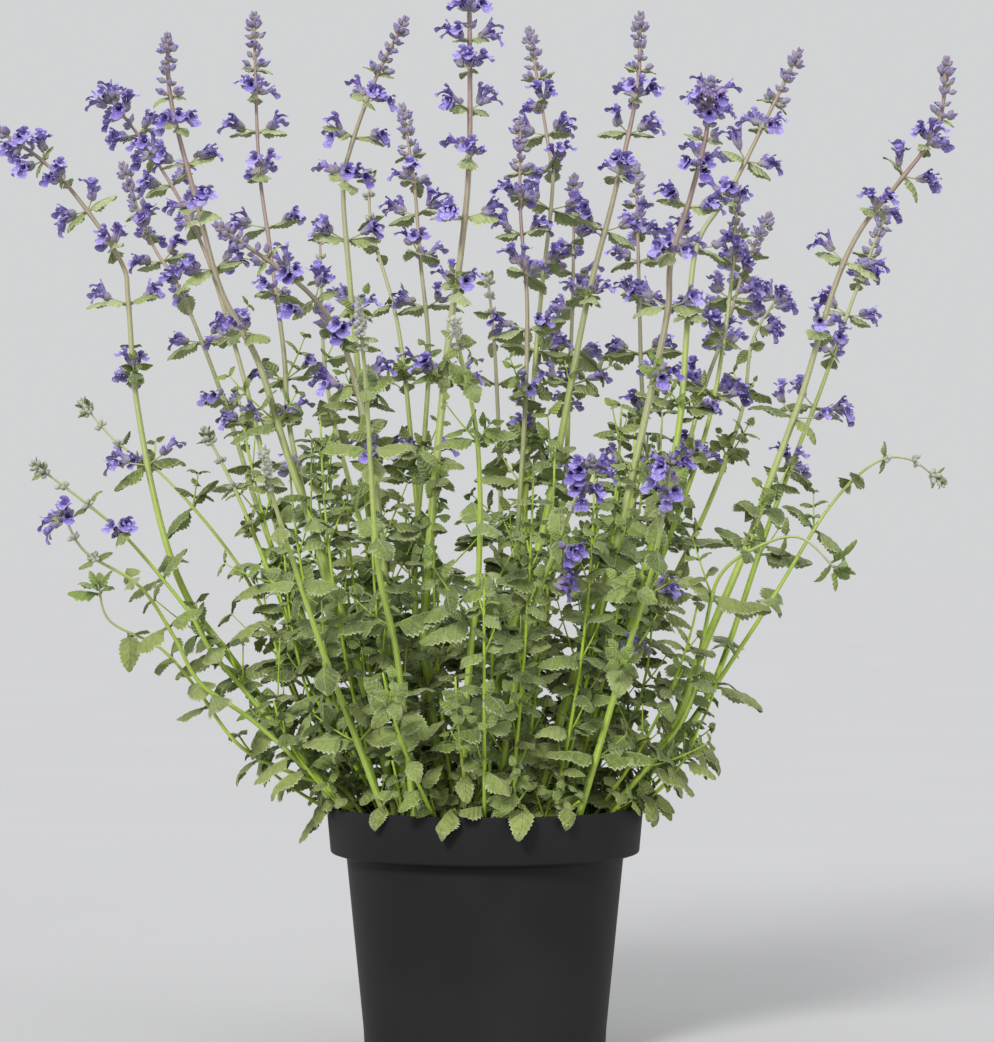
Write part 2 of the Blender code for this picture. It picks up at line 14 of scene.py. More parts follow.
import bpy
import numpy as np
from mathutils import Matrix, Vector

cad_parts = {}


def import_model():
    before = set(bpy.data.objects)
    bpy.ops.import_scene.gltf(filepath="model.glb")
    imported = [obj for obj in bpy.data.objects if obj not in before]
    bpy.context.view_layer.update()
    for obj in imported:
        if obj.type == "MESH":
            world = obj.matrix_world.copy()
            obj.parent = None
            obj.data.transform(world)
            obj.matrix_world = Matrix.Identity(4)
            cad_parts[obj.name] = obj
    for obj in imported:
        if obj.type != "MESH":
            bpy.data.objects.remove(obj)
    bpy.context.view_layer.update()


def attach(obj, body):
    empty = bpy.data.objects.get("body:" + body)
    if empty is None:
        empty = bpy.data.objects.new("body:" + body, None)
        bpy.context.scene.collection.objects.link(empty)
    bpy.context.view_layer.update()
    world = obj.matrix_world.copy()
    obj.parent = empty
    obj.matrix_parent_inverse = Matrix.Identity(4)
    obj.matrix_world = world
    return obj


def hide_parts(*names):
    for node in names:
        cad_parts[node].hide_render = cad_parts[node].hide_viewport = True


MM = 0.001
SEED = 7

# The pot
POT_HEIGHT = 0.150
RIM_RADIUS = 0.095
RIM_FOOT_RADIUS = 0.0925
RIM_DEPTH = 0.028
SHOULDER_RADIUS = 0.083
SHOULDER_DROP = 0.003
WALL = 0.0018
HEEL_HEIGHT = 0.016
HEEL_RADIUS = 0.0722
BASE_RADIUS = 0.066
POT_SIDES = 96
DRAIN_HOLES = 6
DRAIN_RADIUS = 0.006
DRAIN_CIRCLE = 0.047

# The soil, and how the stems stand in it
CLEARANCE = 0.0003
SOIL_TOP = 0.137
ROOT_DEPTH = 0.010
ROOT_CIRCLE = 0.076

# The shoots' routes are read from the front, from this far away and at this height
EYE_DISTANCE = 2.1
EYE_HEIGHT = 0.320

# Stems
STEP = 0.004
STEM_RADIUS = 0.0026
TIP_RADIUS = 0.0009
STEM_POINTS = 6
SPIKE_POINTS = 4
SHOOT_CLEARANCE = 0.0085
SPREAD_ROUNDS = 60
SPREAD_REACH = 0.045

# Nodes, counted from a shoot's tip down. The gap between them grows to its longest.
FIRST_GAP = 0.009
GAP_GROWTH = {"spike": 1.25, "buds": 1.42, "leaves": 1.42}
LONGEST_GAP = 0.060
LOWEST_NODE = 0.022
NODE_TURN = math.radians(90)

# Leaves: the longest are low down, and the first pairs below a tip are small.
LEAF_LENGTH = 0.035
BRACT_LENGTH = 0.012
FULL_LEAF_HEIGHT = 0.300
BRACT_HEIGHT = 0.470
YOUNG_LEAF = 0.010
YOUNG_GROWTH = 0.0042
SMALLEST_BLADE = 0.020
LEAF_RISE = math.radians(30)
BLADE_FOLD = 0.15

# Flowers: a few nodes of buds at a tip, then open flowers down to the last height where any grow
BUD_NODES = {"spike": 3, "buds": 1, "leaves": 0}
SPIKE_NODES = 7
LOWEST_FLOWER = 0.345
FLOWER_LENGTH = 0.0150
FLOWER_MOUTH = 0.0036
BUD_LENGTH = 0.0068
BUD_MOUTH = 0.0022
CYME_SPREAD = math.radians(24)
FLOWER_RISE = math.radians(34)

# Free space is kept in cubes of this size
CELL = 0.0021
LEAF_CLEARANCE = 0.0015
JOINT_ZONE = 0.0065

# The photograph's frame. The camera is level, and this is one pixel's size at the pot's axis.
IMAGE_HEIGHT = 1042
PIXEL_SIZE = 0.0006
EYE_ACROSS = 0.0072
SENSOR = 36.0

# Finer leaf sizes, as shares of a leaf's length but for the thicknesses
LEAF_STALK = 0.12
LEAF_HALF = 0.30
TOOTH_DEPTH = 0.17
TOOTH_LEAN = 0.56
VEINS = 5.0
VEIN_SLANT = 0.24
STALK_THICK = 0.0009
BLADE_THICK = 0.0004
MIDRIB = 0.0006
SIDE_STEM = 0.0007
INNER_STEM = 0.0012
SMALL_LEAF = 0.0135
LARGE_LEAF = 0.024
RIM_WATCH = 0.19
TOOTH_GAP = 0.0031
FOLD = (0.25, 0.95)
# How far a leaf bends down from its root to its tip, in radians: for each unit of droop, and at its tip
ARCH = 1.8
TIP_CURL = (0.0, 0.8)
# Where the leaves of a pair grow paler and narrower bracts, and how long they are at these heights
BRACTS_FROM = 0.43
PAIR_HEIGHTS = (0.15, 0.36, 0.43, 0.47, 0.56, 0.62)
PAIR_LENGTHS = (0.033, 0.031, 0.027, 0.025, 0.019, 0.013)
# Near a tip they are shorter: the youngest pair, and how much longer each next one is
YOUNGEST_PAIR = 0.0045
PAIR_GROWTH = 0.0034
# The small shoots in the axils: their reach and their leaves' length at these heights
AXIL_HEIGHTS = (0.14, 0.20, 0.36, 0.47)
AXIL_REACHES = (0.014, 0.036, 0.030, 0.009)
AXIL_LEAVES = (0.016, 0.021, 0.017, 0.009)
RIDGED = (1.16, 0.94, 0.94)

# How thick each of the stout shoots is, as a share of its solid. The others are thin.
THICKNESS = {"01": 0.85, "04": 0.95, "06": 0.9, "07": 0.85, "09": 1.0, "12": 0.95, "14": 1.0, "15": 0.9,
             "16": 0.9, "24": 0.56, "25": 0.56, "26": 0.5, "27": 0.56, "28": 0.48, "29": 0.56}
THIN = 0.72
# How mauve a shoot's tip is at least, and the green of its foot is 0
WEATHERED = 0.8

# Leafy growth between the long shoots, and over the rim
INNER_SHOOTS = 38
INNER_HEIGHT = (0.08, 0.27)
RIM_SHOOTS = 22
RIM_HEIGHT = (0.018, 0.045)
GOLDEN_TURN = math.radians(137.5)
INNER_DROOP = (0.25, 0.75)
RIM_DROOP = (0.5, 1.1)
# Leaves that hang over the rim: where, in degrees from the front, and their length in millimetres
RIM_LEAVES = ((-11, 27), (13, 26), (30, 20), (62, 22), (84, 27), (-40, 21), (-78, 26), (118, 24), (150, 22),
              (180, 27), (-150, 21), (-115, 25))
RIM_LEAF_DROOP = 1.1
# Leafy shoots at the sides: where, in degrees from the front, their tips' reach and height, in metres
SIDE_SHOOTS = ((-97, 0.150, 0.190), (-80, 0.155, 0.245), (-105, 0.140, 0.275), (-66, 0.135, 0.215),
               (-88, 0.120, 0.300), (78, 0.130, 0.200), (97, 0.135, 0.240))
DRAIN_SIDES = 32

# A corolla in millimetres: its tube as (radius, along, nod), then its lobes. A lobe's turn is where
# it lies round the mouth, from the top, and its leans are how far it bends out, at its root and its end.
TUBE = ((0.6, 2.5, 0.0), (1.0, 5.8, 0.4), (1.9, 8.8, 0.0))
Lobe = namedtuple("Lobe", "turn length half leans cup notch rows columns")
LOBES = (
    Lobe(0, 3.0, 2.3, (5, 45), 0.7, 0.24, 4, 5),
    Lobe(105, 2.2, 1.6, (50, 100), 0.1, 0.0, 3, 3),
    Lobe(-105, 2.2, 1.6, (50, 100), 0.1, 0.0, 3, 3),
    Lobe(180, 5.2, 3.6, (40, 115), 1.2, 0.12, 5, 5),
)

# The shoots whose tips are woolly, with the finish of each, and the spikes that flower close to their
# tips, with the youngest node that does
WOOLLY = {"21": "rosy_wool", "22": "wool", "35": "wool"}
FLOWERS_FROM = {"01": 1, "02": 0, "09": 1}
WOOLLY_BUDS = 34
WOOLLY_REACH = 0.028

# Shoots that flower at their tips, ones with a big round head, and ones with few side shoots
FLOWERY = ("23", "27", "33", "34")
BIG_HEADS = ("14",)
SPARSE = ("02", "24", "27", "28", "16", "17")
# The nodes of short shoots that flower, counted from the tip
LOW_BLOOMS = {"23": (0, 1, 2), "25": (3,), "26": (3,), "27": (0,), "33": (0, 1, 3, 4), "34": (0, 1, 4, 5)}
# Nodes as old as this bear flowers on one side only
LOW_BLOOMS_PAIRED = 3
FLOWER_SCALE = 1.12
# The youngest buds round a tip: how far back, how many, their scale, and how steeply they stand
CROWN = ((0.0, 3, 0.62, 1.2), (0.003, 3, 0.82, 0.8), (0.0065, 4, 0.96, 0.55))
# The length of the leaves folded round a tip
YOUNGEST_LEAVES = {"buds": 0.008, "leaves": 0.019}
# The youngest nodes bear no side shoots, and those of the next few are small
YOUNGEST_AXIL = 3
OLD_AXIL = 6
# Leaves that hang from a trailing stem: how far across from the pot's middle, and their length
HANGING = {"28": -0.209}
HANGING_LENGTH = 0.024

# Hairs, in metres. Those on the stems begin this far up, as a share of the length.
HAIR_LENGTH = 0.0009
HAIR_WIDTH = 0.00008
HAIR_GAP = 0.0006
DOWNY_FROM = 0.3
CALYX_HAIRS = 10

# Colours
LEAF_DARK = "4e6029"
LEAF_LIGHT = "92a05f"
LEAF_WARM = "8a9a3e"
LEAF_VEIN = "a5b373"
LEAF_EDGE = "ccd3ad"
LEAF_DOWN = "b4be98"
LEAF_BACK = "98a66c"
YOUNG_DARK = "5e7830"
YOUNG_LIGHT = "93aa52"
BRACT_DARK = "8e9c66"
BRACT_LIGHT = "b4bf8a"
STEM_LOW = "a8c736"
STEM_MIDDLE = "b3b684"
STEM_HIGH = "a58a84"
STEM_RIDGE = "c6c4ae"
CALYX_BASE = "a5a39a"
CALYX_TIP = "8d7aaa"
CALYX_RIB = "cbc4cf"
CALYX_SHADE = "74668c"
PALE_BASE = "a5b488"
PALE_TIP = "b9bfa5"
VIOLET = "705eb2"
# The pale violet is also painted on the lips' ends as a highlight
VIOLET_LIGHT = "bcaeef"
# The deep violet is also painted as shade towards the tube's base and in the throat
VIOLET_DEEP = "4c3b82"
VIOLET_SPOT = "3d2b7c"
ROSY_CALYX_BASE = "ad9fb0"
ROSY_CALYX_TIP = "a085b8"
YOUNG_CALYX_BASE = "a6a499"
YOUNG_CALYX_TIP = "8a7ba9"
DOWN_LIGHT = "e6e8dc"
DOWN_SHADE = "c9ceb8"
WOOL = "e0e3d0"
WOOL_SHADE = "bcc4a6"
WOOL_MAUVE = "ab9fb0"
POT_DARK = "222223"
POT_LIGHT = "29292a"
POT_MARK = "2f2f30"
SOIL_DARK = "1d150f"
SOIL_LIGHT = "4a382a"
FLOOR_LIGHT = "b7b7b8"
FLOOR_SHADE = "b2b2b3"

# Studio: each light's name, place, size and power
LIT_POINT = (0.0, 0.0, 0.32)
LIGHTS = (
    ("key", (-0.8, -1.8, 1.6), 14.0, 2.5),
    ("back", (0.5, 1.4, 1.9), 30.0, 1.3),
    ("fill", (1.7, -1.5, 0.7), 30.0, 0.5),
)
WORLD_COLOUR = "f3f4f5"
WORLD_STRENGTH = 0.72
FLOOR_SIZE = 40.0

Shoot = namedtuple("Shoot", "name bears lean route")
Node = namedtuple("Node", "number run at up out size blooms")
Leaf = namedtuple("Leaf", "at along across normal length droop")
Flower = namedtuple("Flower", "at way length mouth")

# What a shoot bears, how far back its tip leans (forward is negative), and its route as seen
# from the front, root first: across and up from the centre of the pot's base, in millimetres.
ROUTES = (
    ("spike", -30, ((-66, 136), (-117, 191), (-154, 240), (-178, 273), (-195, 320), (-209, 392),
                    (-214, 452), (-218, 475), (-243, 512), (-264, 535), (-294, 556))),
    ("spike", 80, ((-60, 136), (-87, 200), (-120, 296), (-137, 374), (-152, 431), (-171, 488),
                   (-198, 537), (-228, 577))),
    ("spike", 150, ((-54, 136), (-84, 188), (-111, 260), (-134, 320), (-158, 395), (-183, 458),
                    (-201, 488), (-218, 533))),
    ("spike", -120, ((-50, 136), (-63, 188), (-93, 287), (-119, 362), (-136, 416), (-158, 458),
                     (-172, 509), (-188, 572), (-190, 610))),
    ("spike", 90, ((-46, 136), (-78, 218), (-93, 272), (-116, 368), (-121, 422), (-129, 482),
                   (-136, 536), (-139, 623))),
    ("spike", -150, ((-44, 136), (-63, 320), (-68, 362), (-82, 419), (-96, 446), (-117, 467),
                     (-160, 497))),
    ("spike", -60, ((-34, 136), (-54, 212), (-69, 320), (-75, 398), (-81, 464), (-85, 518),
                    (-81, 542), (-66, 584), (-48, 620))),
    ("spike", 120, ((-28, 136), (-42, 272), (-37, 362), (-34, 422), (-39, 476), (-43, 524),
                    (-50, 568))),
    ("spike", -110, ((-22, 136), (-34, 224), (-36, 260), (-32, 320), (-22, 425), (-14, 482),
                     (-9, 542), (-9, 645))),
    ("spike", 90, ((10, 136), (12, 212), (20, 320), (24, 392), (25, 452), (21, 506), (21, 560))),
    ("spike", 180, ((18, 136), (24, 332), (28, 392), (33, 452), (40, 518), (38, 542), (26, 614))),
    ("spike", 50, ((-4, 136), (3, 200), (24, 278), (36, 320), (54, 416), (64, 464), (78, 518),
                   (91, 578), (93, 623))),
    ("spike", 220, ((16, 136), (45, 320), (50, 404), (52, 452), (53, 526))),
    ("spike", -150, ((24, 136), (51, 218), (66, 260), (81, 314), (100, 398), (110, 446), (112, 476),
                     (123, 512), (133, 551), (136, 584))),
    ("spike", 30, ((42, 136), (69, 212), (87, 260), (102, 314), (116, 374), (122, 446), (128, 488),
                   (147, 518), (171, 566), (188, 601))),
    ("spike", -40, ((68, 136), (108, 188), (129, 239), (156, 302), (171, 344), (189, 392), (209, 458),
                    (225, 494), (249, 524), (272, 557), (277, 596))),
    ("spike", 80, ((58, 136), (99, 170), (135, 218), (171, 320), (201, 398), (218, 446), (234, 488),
                   (241, 506))),
    ("spike", 160, ((32, 136), (80, 300), (94, 362), (93, 420), (91, 500), (90, 533))),
    ("spike", 130, ((50, 136), (104, 300), (129, 392), (144, 434), (156, 473), (170, 503))),
    ("spike", 70, ((48, 136), (84, 240), (129, 362), (144, 434), (150, 494), (150, 521))),
    ("buds", -210, ((-40, 136), (-52, 236), (-64, 296), (-71, 404), (-76, 455))),
    ("buds", -230, ((-14, 136), (-10, 224), (-3, 296), (-4, 368), (-15, 425), (-18, 442))),
    ("buds", 210, ((38, 136), (120, 300), (152, 380), (160, 428), (176, 456))),
    ("buds", 20, ((74, 136), (117, 191), (156, 248), (177, 281), (207, 329), (234, 355), (255, 357),
                  (274, 343))),
    ("buds", -80, ((-72, 136), (-120, 191), (-162, 239), (-178, 266), (-213, 308), (-237, 329),
                   (-270, 354))),
    ("buds", 90, ((-64, 136), (-102, 191), (-129, 257), (-152, 299), (-192, 346), (-222, 368),
                  (-242, 391))),
    ("buds", -120, ((-66, 136), (-134, 196), (-170, 222), (-186, 250), (-207, 281), (-240, 302),
                    (-254, 328))),
    ("leaves", -50, ((-68, 136), (-86, 160), (-111, 167), (-147, 185), (-174, 221), (-195, 244),
                     (-225, 260), (-232, 282))),
    ("leaves", -100, ((64, 136), (118, 200), (131, 250), (141, 287), (165, 305), (190, 310),
                      (212, 290))),
    ("buds", 230, ((-30, 136), (-70, 300), (-95, 400), (-100, 494))),
    ("buds", 240, ((2, 136), (9, 300), (6, 410), (1, 467))),
    ("buds", 140, ((-18, 136), (-38, 300), (-51, 428), (-68, 494), (-70, 529))),
    ("buds", -180, ((4, 136), (24, 250), (45, 308), (64, 356))),
    ("buds", -190, ((52, 136), (84, 236), (102, 296), (113, 358))),
    ("buds", -190, ((-54, 136), (-81, 200), (-99, 248), (-126, 332), (-132, 365))),
    ("buds", 30, ((-58, 136), (-117, 260), (-147, 332), (-168, 374))),
)


def shoots():
    """The shoots by name, from the table of routes."""
    return [Shoot(f"{number + 1:02d}", *row) for number, row in enumerate(ROUTES)]


def unit(vector):
    return vector / max(np.linalg.norm(vector), 1e-9)


def smooth(points):
    """Points every STEP along a smooth curve through these."""
    ends = np.vstack([2 * points[0] - points[1], points, 2 * points[-1] - points[-2]])
    shares = np.linspace(0, 1, 24, endpoint=False)[:, None]
    pieces = [
        0.5 * (2 * b + (c - a) * shares + (2 * a - 5 * b + 4 * c - d) * shares**2
               + (3 * b - a - 3 * c + d) * shares**3)
        for a, b, c, d in zip(ends, ends[1:], ends[2:], ends[3:])
    ]
    fine = np.vstack([*pieces, points[-1:]])
    run = np.concatenate([[0], np.cumsum(np.linalg.norm(np.diff(fine, axis=0), axis=1))])
    even = np.linspace(0, run[-1], round(run[-1] / STEP) + 1)
    return np.column_stack([np.interp(even, run, fine[:, k]) for k in range(3)])


def centre_line(shoot):
    """A shoot's line in space. The seen route is carried back or forward along the line of sight."""
    seen = np.array(shoot.route, float) * MM
    lean = shoot.lean * MM
    root_back = min(0.3 * abs(lean), math.sqrt(ROOT_CIRCLE**2 - seen[0, 0] ** 2))
    root = np.array([seen[0, 0], math.copysign(root_back, lean), SOIL_TOP])
    risen = (np.arange(1, len(seen)) / (len(seen) - 1)) ** 1.15
    back = root[1] + (lean - root[1]) * risen
    scale = 1 + back / EYE_DISTANCE
    across = seen[1:, 0] * scale
    up = EYE_HEIGHT + (seen[1:, 1] - EYE_HEIGHT) * scale
    return smooth(np.vstack([root, np.column_stack([across, back, up])]))


def bend_clear(lines):
    """Pushes lines that pass too close to each other apart, forward and back, over a smooth stretch."""
    for _ in range(SPREAD_ROUNDS):
        for first, second in itertools.combinations(lines, 2):
            apart = np.linalg.norm(first[:, None] - second[None], axis=2)
            i, j = np.unravel_index(apart.argmin(), apart.shape)
            short = SHOOT_CLEARANCE - apart[i, j]
            if short <= 0:
                continue
            way = math.copysign(0.6 * short, first[i, 1] - second[j, 1])
            for line, near, push in ((first, i, way), (second, j, -way)):
                steps = (np.arange(len(line)) - near) * STEP / SPREAD_REACH
                line[:, 1] += push * np.exp(-(steps**2))


def straight_runs(shoot, line):
    """The runs along a line where its faceted stem bends, and where the flowering top begins, if any."""
    length = (len(line) - 1) * STEP
    if shoot.bears != "spike":
        return np.linspace(0, length, STEM_POINTS), None
    runs = list(node_runs(shoot, length))
    top = (runs[SPIKE_NODES - 1] + runs[SPIKE_NODES]) / 2
    below = np.linspace(0, top, STEM_POINTS)
    above = np.linspace(top, length, SPIKE_POINTS)
    return np.concatenate([below, above[1:]]), top


def at_run(line, runs):
    """The places on a line at these runs."""
    grid = np.arange(len(line)) * STEP
    return np.column_stack([np.interp(runs, grid, line[:, k]) for k in range(3)])


def faceted(shoot, line):
    """The line with straight stretches between the points where its stem bends."""
    knots, _ = straight_runs(shoot, line)
    places = at_run(line, knots)
    grid = np.arange(len(line)) * STEP
    return np.column_stack([np.interp(grid, knots, places[:, k]) for k in range(3)])


def stem_radius(share):
    """Half a stem's thickness, from its root at share 0 to its tip at share 1."""
    return TIP_RADIUS + (STEM_RADIUS - TIP_RADIUS) * (1 - share) ** 0.8


def node_runs(shoot, length):
    """How far up from the root each node lies, from the tip down."""
    run, gap = length, FIRST_GAP
    while run - gap > LOWEST_NODE:
        run -= gap
        yield run
        gap = min(gap * GAP_GROWTH[shoot.bears], LONGEST_GAP)


def leaf_size(number, height):
    """A leaf's length: by its height, and by its age, which is its node's count from the tip."""
    share = np.interp(height, (FULL_LEAF_HEIGHT, BRACT_HEIGHT), (1, 0))
    return min(BRACT_LENGTH + (LEAF_LENGTH - BRACT_LENGTH) * share, YOUNG_LEAF + YOUNG_GROWTH * number)


def blooms_at(shoot, number, height):
    """What grows in the axils of a node's leaves."""
    if number < BUD_NODES[shoot.bears]:
        return "buds"
    flowers = number < SPIKE_NODES or height > LOWEST_FLOWER
    return "flowers" if flowers and shoot.bears == "spike" else "nothing"


def nodes_of(shoot, line, draw):
    """The nodes of a shoot, with the way that each one's first leaf points."""
    turn = draw.uniform(-0.5, 0.5)
    found = []
    for number, run in enumerate(node_runs(shoot, (len(line) - 1) * STEP)):
        before, at, after = at_run(line, [run - 2 * STEP, run, run + 2 * STEP])
        up = unit(after - before)
        level = unit(np.cross(np.array([0, 1.0, 0]), up))
        angle = turn + NODE_TURN * number + draw.uniform(-0.2, 0.2)
        out = level * math.cos(angle) + np.cross(up, level) * math.sin(angle)
        size = leaf_size(number, at[2])
        found.append(Node(number, run, at, up, out, size, blooms_at(shoot, number, at[2])))
    return found


def blade_points(leaf):
    """Points over a blade, close enough together to stand for it when free space is looked for."""
    shares = np.linspace(0, 1, max(3, int(leaf.length / CELL)))
    points = []
    for share in shares:
        half = 0.37 * math.sin(math.pi * min(1, share * 1.02) ** 0.7)
        across = np.arange(-half, half + 1e-6, CELL / leaf.length) if half > 0.03 else [0.0]
        points += [blade_at(leaf, share, out) for out in across]
    return np.array(points)


def blade_at(leaf, share, out):
    """A point of a leaf's blade: share of its length along, and out from the midrib. It arches down."""
    drop = -leaf.droop * share**2 - BLADE_FOLD * abs(out)
    place = leaf.along * share * (1 - 0.25 * leaf.droop * share) + leaf.across * out
    return leaf.at + leaf.length * (place + leaf.normal * drop)


def clear_of_pot(points):
    """Which points are above the soil inside the pot, above its rim, or outside it."""
    radius = np.hypot(points[:, 0], points[:, 1])
    above_rim = points[:, 2] > POT_HEIGHT + LEAF_CLEARANCE
    outside = radius > RIM_RADIUS + LEAF_CLEARANCE
    inside = radius < inner_radius(SOIL_TOP) - LEAF_CLEARANCE
    return above_rim | outside | (inside & (points[:, 2] > SOIL_TOP + LEAF_CLEARANCE))


class FreeSpace:
    """Cubes of space that stems, leaves and flowers have taken, so that nothing grows through them."""

    def __init__(self):
        self.stems = {}
        self.taken = set()
        self.around = list(itertools.product((-1, 0, 1), repeat=3))

    def cells(self, points, root):
        """The cubes that points fall in, but for those near the root that they grow from."""
        away = points[np.linalg.norm(points - root, axis=1) > JOINT_ZONE]
        return {tuple(cell) for cell in np.floor(away / CELL).astype(int).tolist()}

    def near(self, cells):
        return {(x + i, y + j, z + k) for x, y, z in cells for i, j, k in self.around}

    def add_stem(self, line, name):
        runs = np.arange(0, (len(line) - 1) * STEP, CELL / 2)
        for cell in self.near(self.cells(at_run(line, runs), np.array([0, 0, -1.0]))):
            self.stems[cell] = name

    def is_free(self, points, root, name):
        """Whether nothing but the stem of that name is near the points."""
        cells = self.cells(points, root)
        if not clear_of_pot(points).all() or not cells.isdisjoint(self.taken):
            return False
        return all(self.stems.get(cell, name) == name for cell in cells)

    def take(self, points, root):
        self.taken |= self.near(self.cells(points, root))


def turned_out(node, turn, rise, side):
    """A way out of a node: turned round the stem, raised towards the tip, on one side or the other."""
    out = node.out * math.cos(turn) + np.cross(node.up, node.out) * math.sin(turn)
    return unit(side * out * math.cos(rise) + node.up * math.sin(rise))


def find_leaf(space, name, node, side, draw):
    """A leaf on one side of a node, turned or lowered until it hangs free. None if it can't."""
    length = node.size * draw.uniform(0.88, 1.08)
    rise = LEAF_RISE + draw.uniform(-0.25, 0.15)
    droop = draw.uniform(0.2, 0.5)
    for turn, lower in ((0, 0), (0.4, 0), (-0.4, 0), (0, 0.35), (0, -0.35), (0.75, 0.2), (-0.75, 0.2)):
        along = turned_out(node, turn, rise - lower, side)
        across = unit(np.cross(node.up, along))
        leaf = Leaf(node.at, along, across, np.cross(along, across), length, droop)
        points = blade_points(leaf)
        if space.is_free(points, node.at, name):
            space.take(points, node.at)
            return leaf
    return None


def find_flowers(space, name, node, draw):
    """A whorl: on each side of the stem a few flowers, in the axil of a leaf, where there is room."""
    is_bud = node.blooms == "buds"
    turns = (-CYME_SPREAD, CYME_SPREAD) if not is_bud and node.number < SPIKE_NODES else (0,)
    for side, turn in itertools.product((1, -1), turns):
        way = turned_out(node, turn + draw.uniform(-0.1, 0.1), FLOWER_RISE + draw.uniform(-0.2, 0.2), side)
        stalk = 0.66 + 0.07 * min(node.number, 6)
        length, mouth = (BUD_LENGTH, BUD_MOUTH) if is_bud else (FLOWER_LENGTH * stalk, FLOWER_MOUTH)
        flower = Flower(node.at, way, length, mouth)
        points = flower_points(flower)
        if space.is_free(points, node.at, name):
            space.take(points, node.at)
            yield flower


def flower_points(flower):
    """Points along a flower and round its mouth, to look for free space with."""
    level = unit(np.cross(flower.way, np.array([0, 0, 1.0])))
    above = np.cross(level, flower.way)
    along = flower.at + flower.way * np.linspace(0.4, 1.1, 6)[:, None] * flower.length
    mouth = [along[-2] + flower.mouth * (level * math.cos(k) + above * math.sin(k)) for k in range(6)]
    return np.vstack([along, mouth])


def grow_plan(grown, lines):
    """The leaves and flowers of every node of every shoot, placed so that no two shoots cross."""
    space = FreeSpace()
    for shoot, line in zip(grown, lines):
        space.add_stem(line, shoot.name)
    plan = []
    for shoot, line in zip(grown, lines):
        draw = random.Random(f"{SEED} {shoot.name}")
        rows = []
        for node in nodes_of(shoot, line, draw):
            flowers = []
            if node.blooms != "nothing":
                flowers = list(find_flowers(space, shoot.name, node, draw))
            leaves = []
            if node.size > SMALLEST_BLADE:
                found = [find_leaf(space, shoot.name, node, side, draw) for side in (1, -1)]
                leaves = [leaf for leaf in found if leaf]
            rows.append((node, leaves, flowers))
        plan.append(rows)
    return plan


def inside_profile():
    """The pot's inside from the rim down to the base, as (radius, height)."""
    rim_foot = POT_HEIGHT - RIM_DEPTH
    return [(RIM_RADIUS - WALL, POT_HEIGHT), (RIM_FOOT_RADIUS - WALL, rim_foot + WALL),
            (SHOULDER_RADIUS - WALL, rim_foot - SHOULDER_DROP + WALL),
            (HEEL_RADIUS - WALL, HEEL_HEIGHT), (BASE_RADIUS - WALL / 2, WALL)]


def inner_radius(height):
    """The pot's inside radius at a height."""
    radii, heights = zip(*inside_profile()[::-1])
    return float(np.interp(height, heights, radii))


def blocks(rows, columns, closed):
    """The faces of a grid of points, given row by row. A closed grid's last column meets its first."""
    grid = np.arange(rows * columns).reshape(rows, columns)
    if closed:
        grid = np.column_stack([grid, grid[:, 0]])
    low, high = grid[:-1], grid[1:]
    return np.stack([low[:, :-1], low[:, 1:], high[:, 1:], high[:, :-1]], axis=-1).reshape(-1, 4)


class Piece:
    """The points and faces of one piece, gathered part by part. A part has a material, and each of its
    points carries a detail: three numbers that the material reads, and whether it's on an underside."""

    def __init__(self):
        self.points, self.details, self.unders, self.faces, self.kinds = [], [], [], [], []
        self.materials = []
        self.count = 0

    def add(self, points, faces, material, detail, under=0.0):
        if material not in self.materials:
            self.materials.append(material)
        kind = self.materials.index(material)
        self.points.append(points)
        self.details.append(np.broadcast_to(detail, points.shape))
        self.unders.append(np.broadcast_to(under, len(points)))
        for some in faces:
            self.faces.append(some + self.count)
            self.kinds.append(np.full(len(some), kind))
        self.count += len(points)

    def build(self, name):
        """Makes the object. It rides on the frame's one body."""
        points = np.vstack(self.points)
        corners = np.concatenate([some.ravel() for some in self.faces])
        sizes = np.concatenate([np.full(len(some), some.shape[1]) for some in self.faces])
        mesh = bpy.data.meshes.new(name)
        mesh.vertices.add(len(points))
        mesh.vertices.foreach_set("co", points.ravel())
        mesh.loops.add(len(corners))
        mesh.loops.foreach_set("vertex_index", corners)
        mesh.polygons.add(len(sizes))
        mesh.polygons.foreach_set("loop_start", np.concatenate([[0], np.cumsum(sizes)[:-1]]))
        mesh.polygons.foreach_set("material_index", np.concatenate(self.kinds))
        mesh.polygons.foreach_set("use_smooth", np.ones(len(sizes), bool))
        mesh.attributes.new("detail", "FLOAT_VECTOR", "POINT").data.foreach_set(
            "vector", np.vstack(self.details).ravel())
        mesh.attributes.new("under", "FLOAT", "POINT").data.foreach_set(
            "value", np.concatenate(self.unders))
        mesh.update(calc_edges=True)
        mesh.validate()
        for material in self.materials:
            mesh.materials.append(material)
        made = bpy.data.objects.new(name, mesh)
        bpy.context.scene.collection.objects.link(made)
        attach(made, "root")
        return made


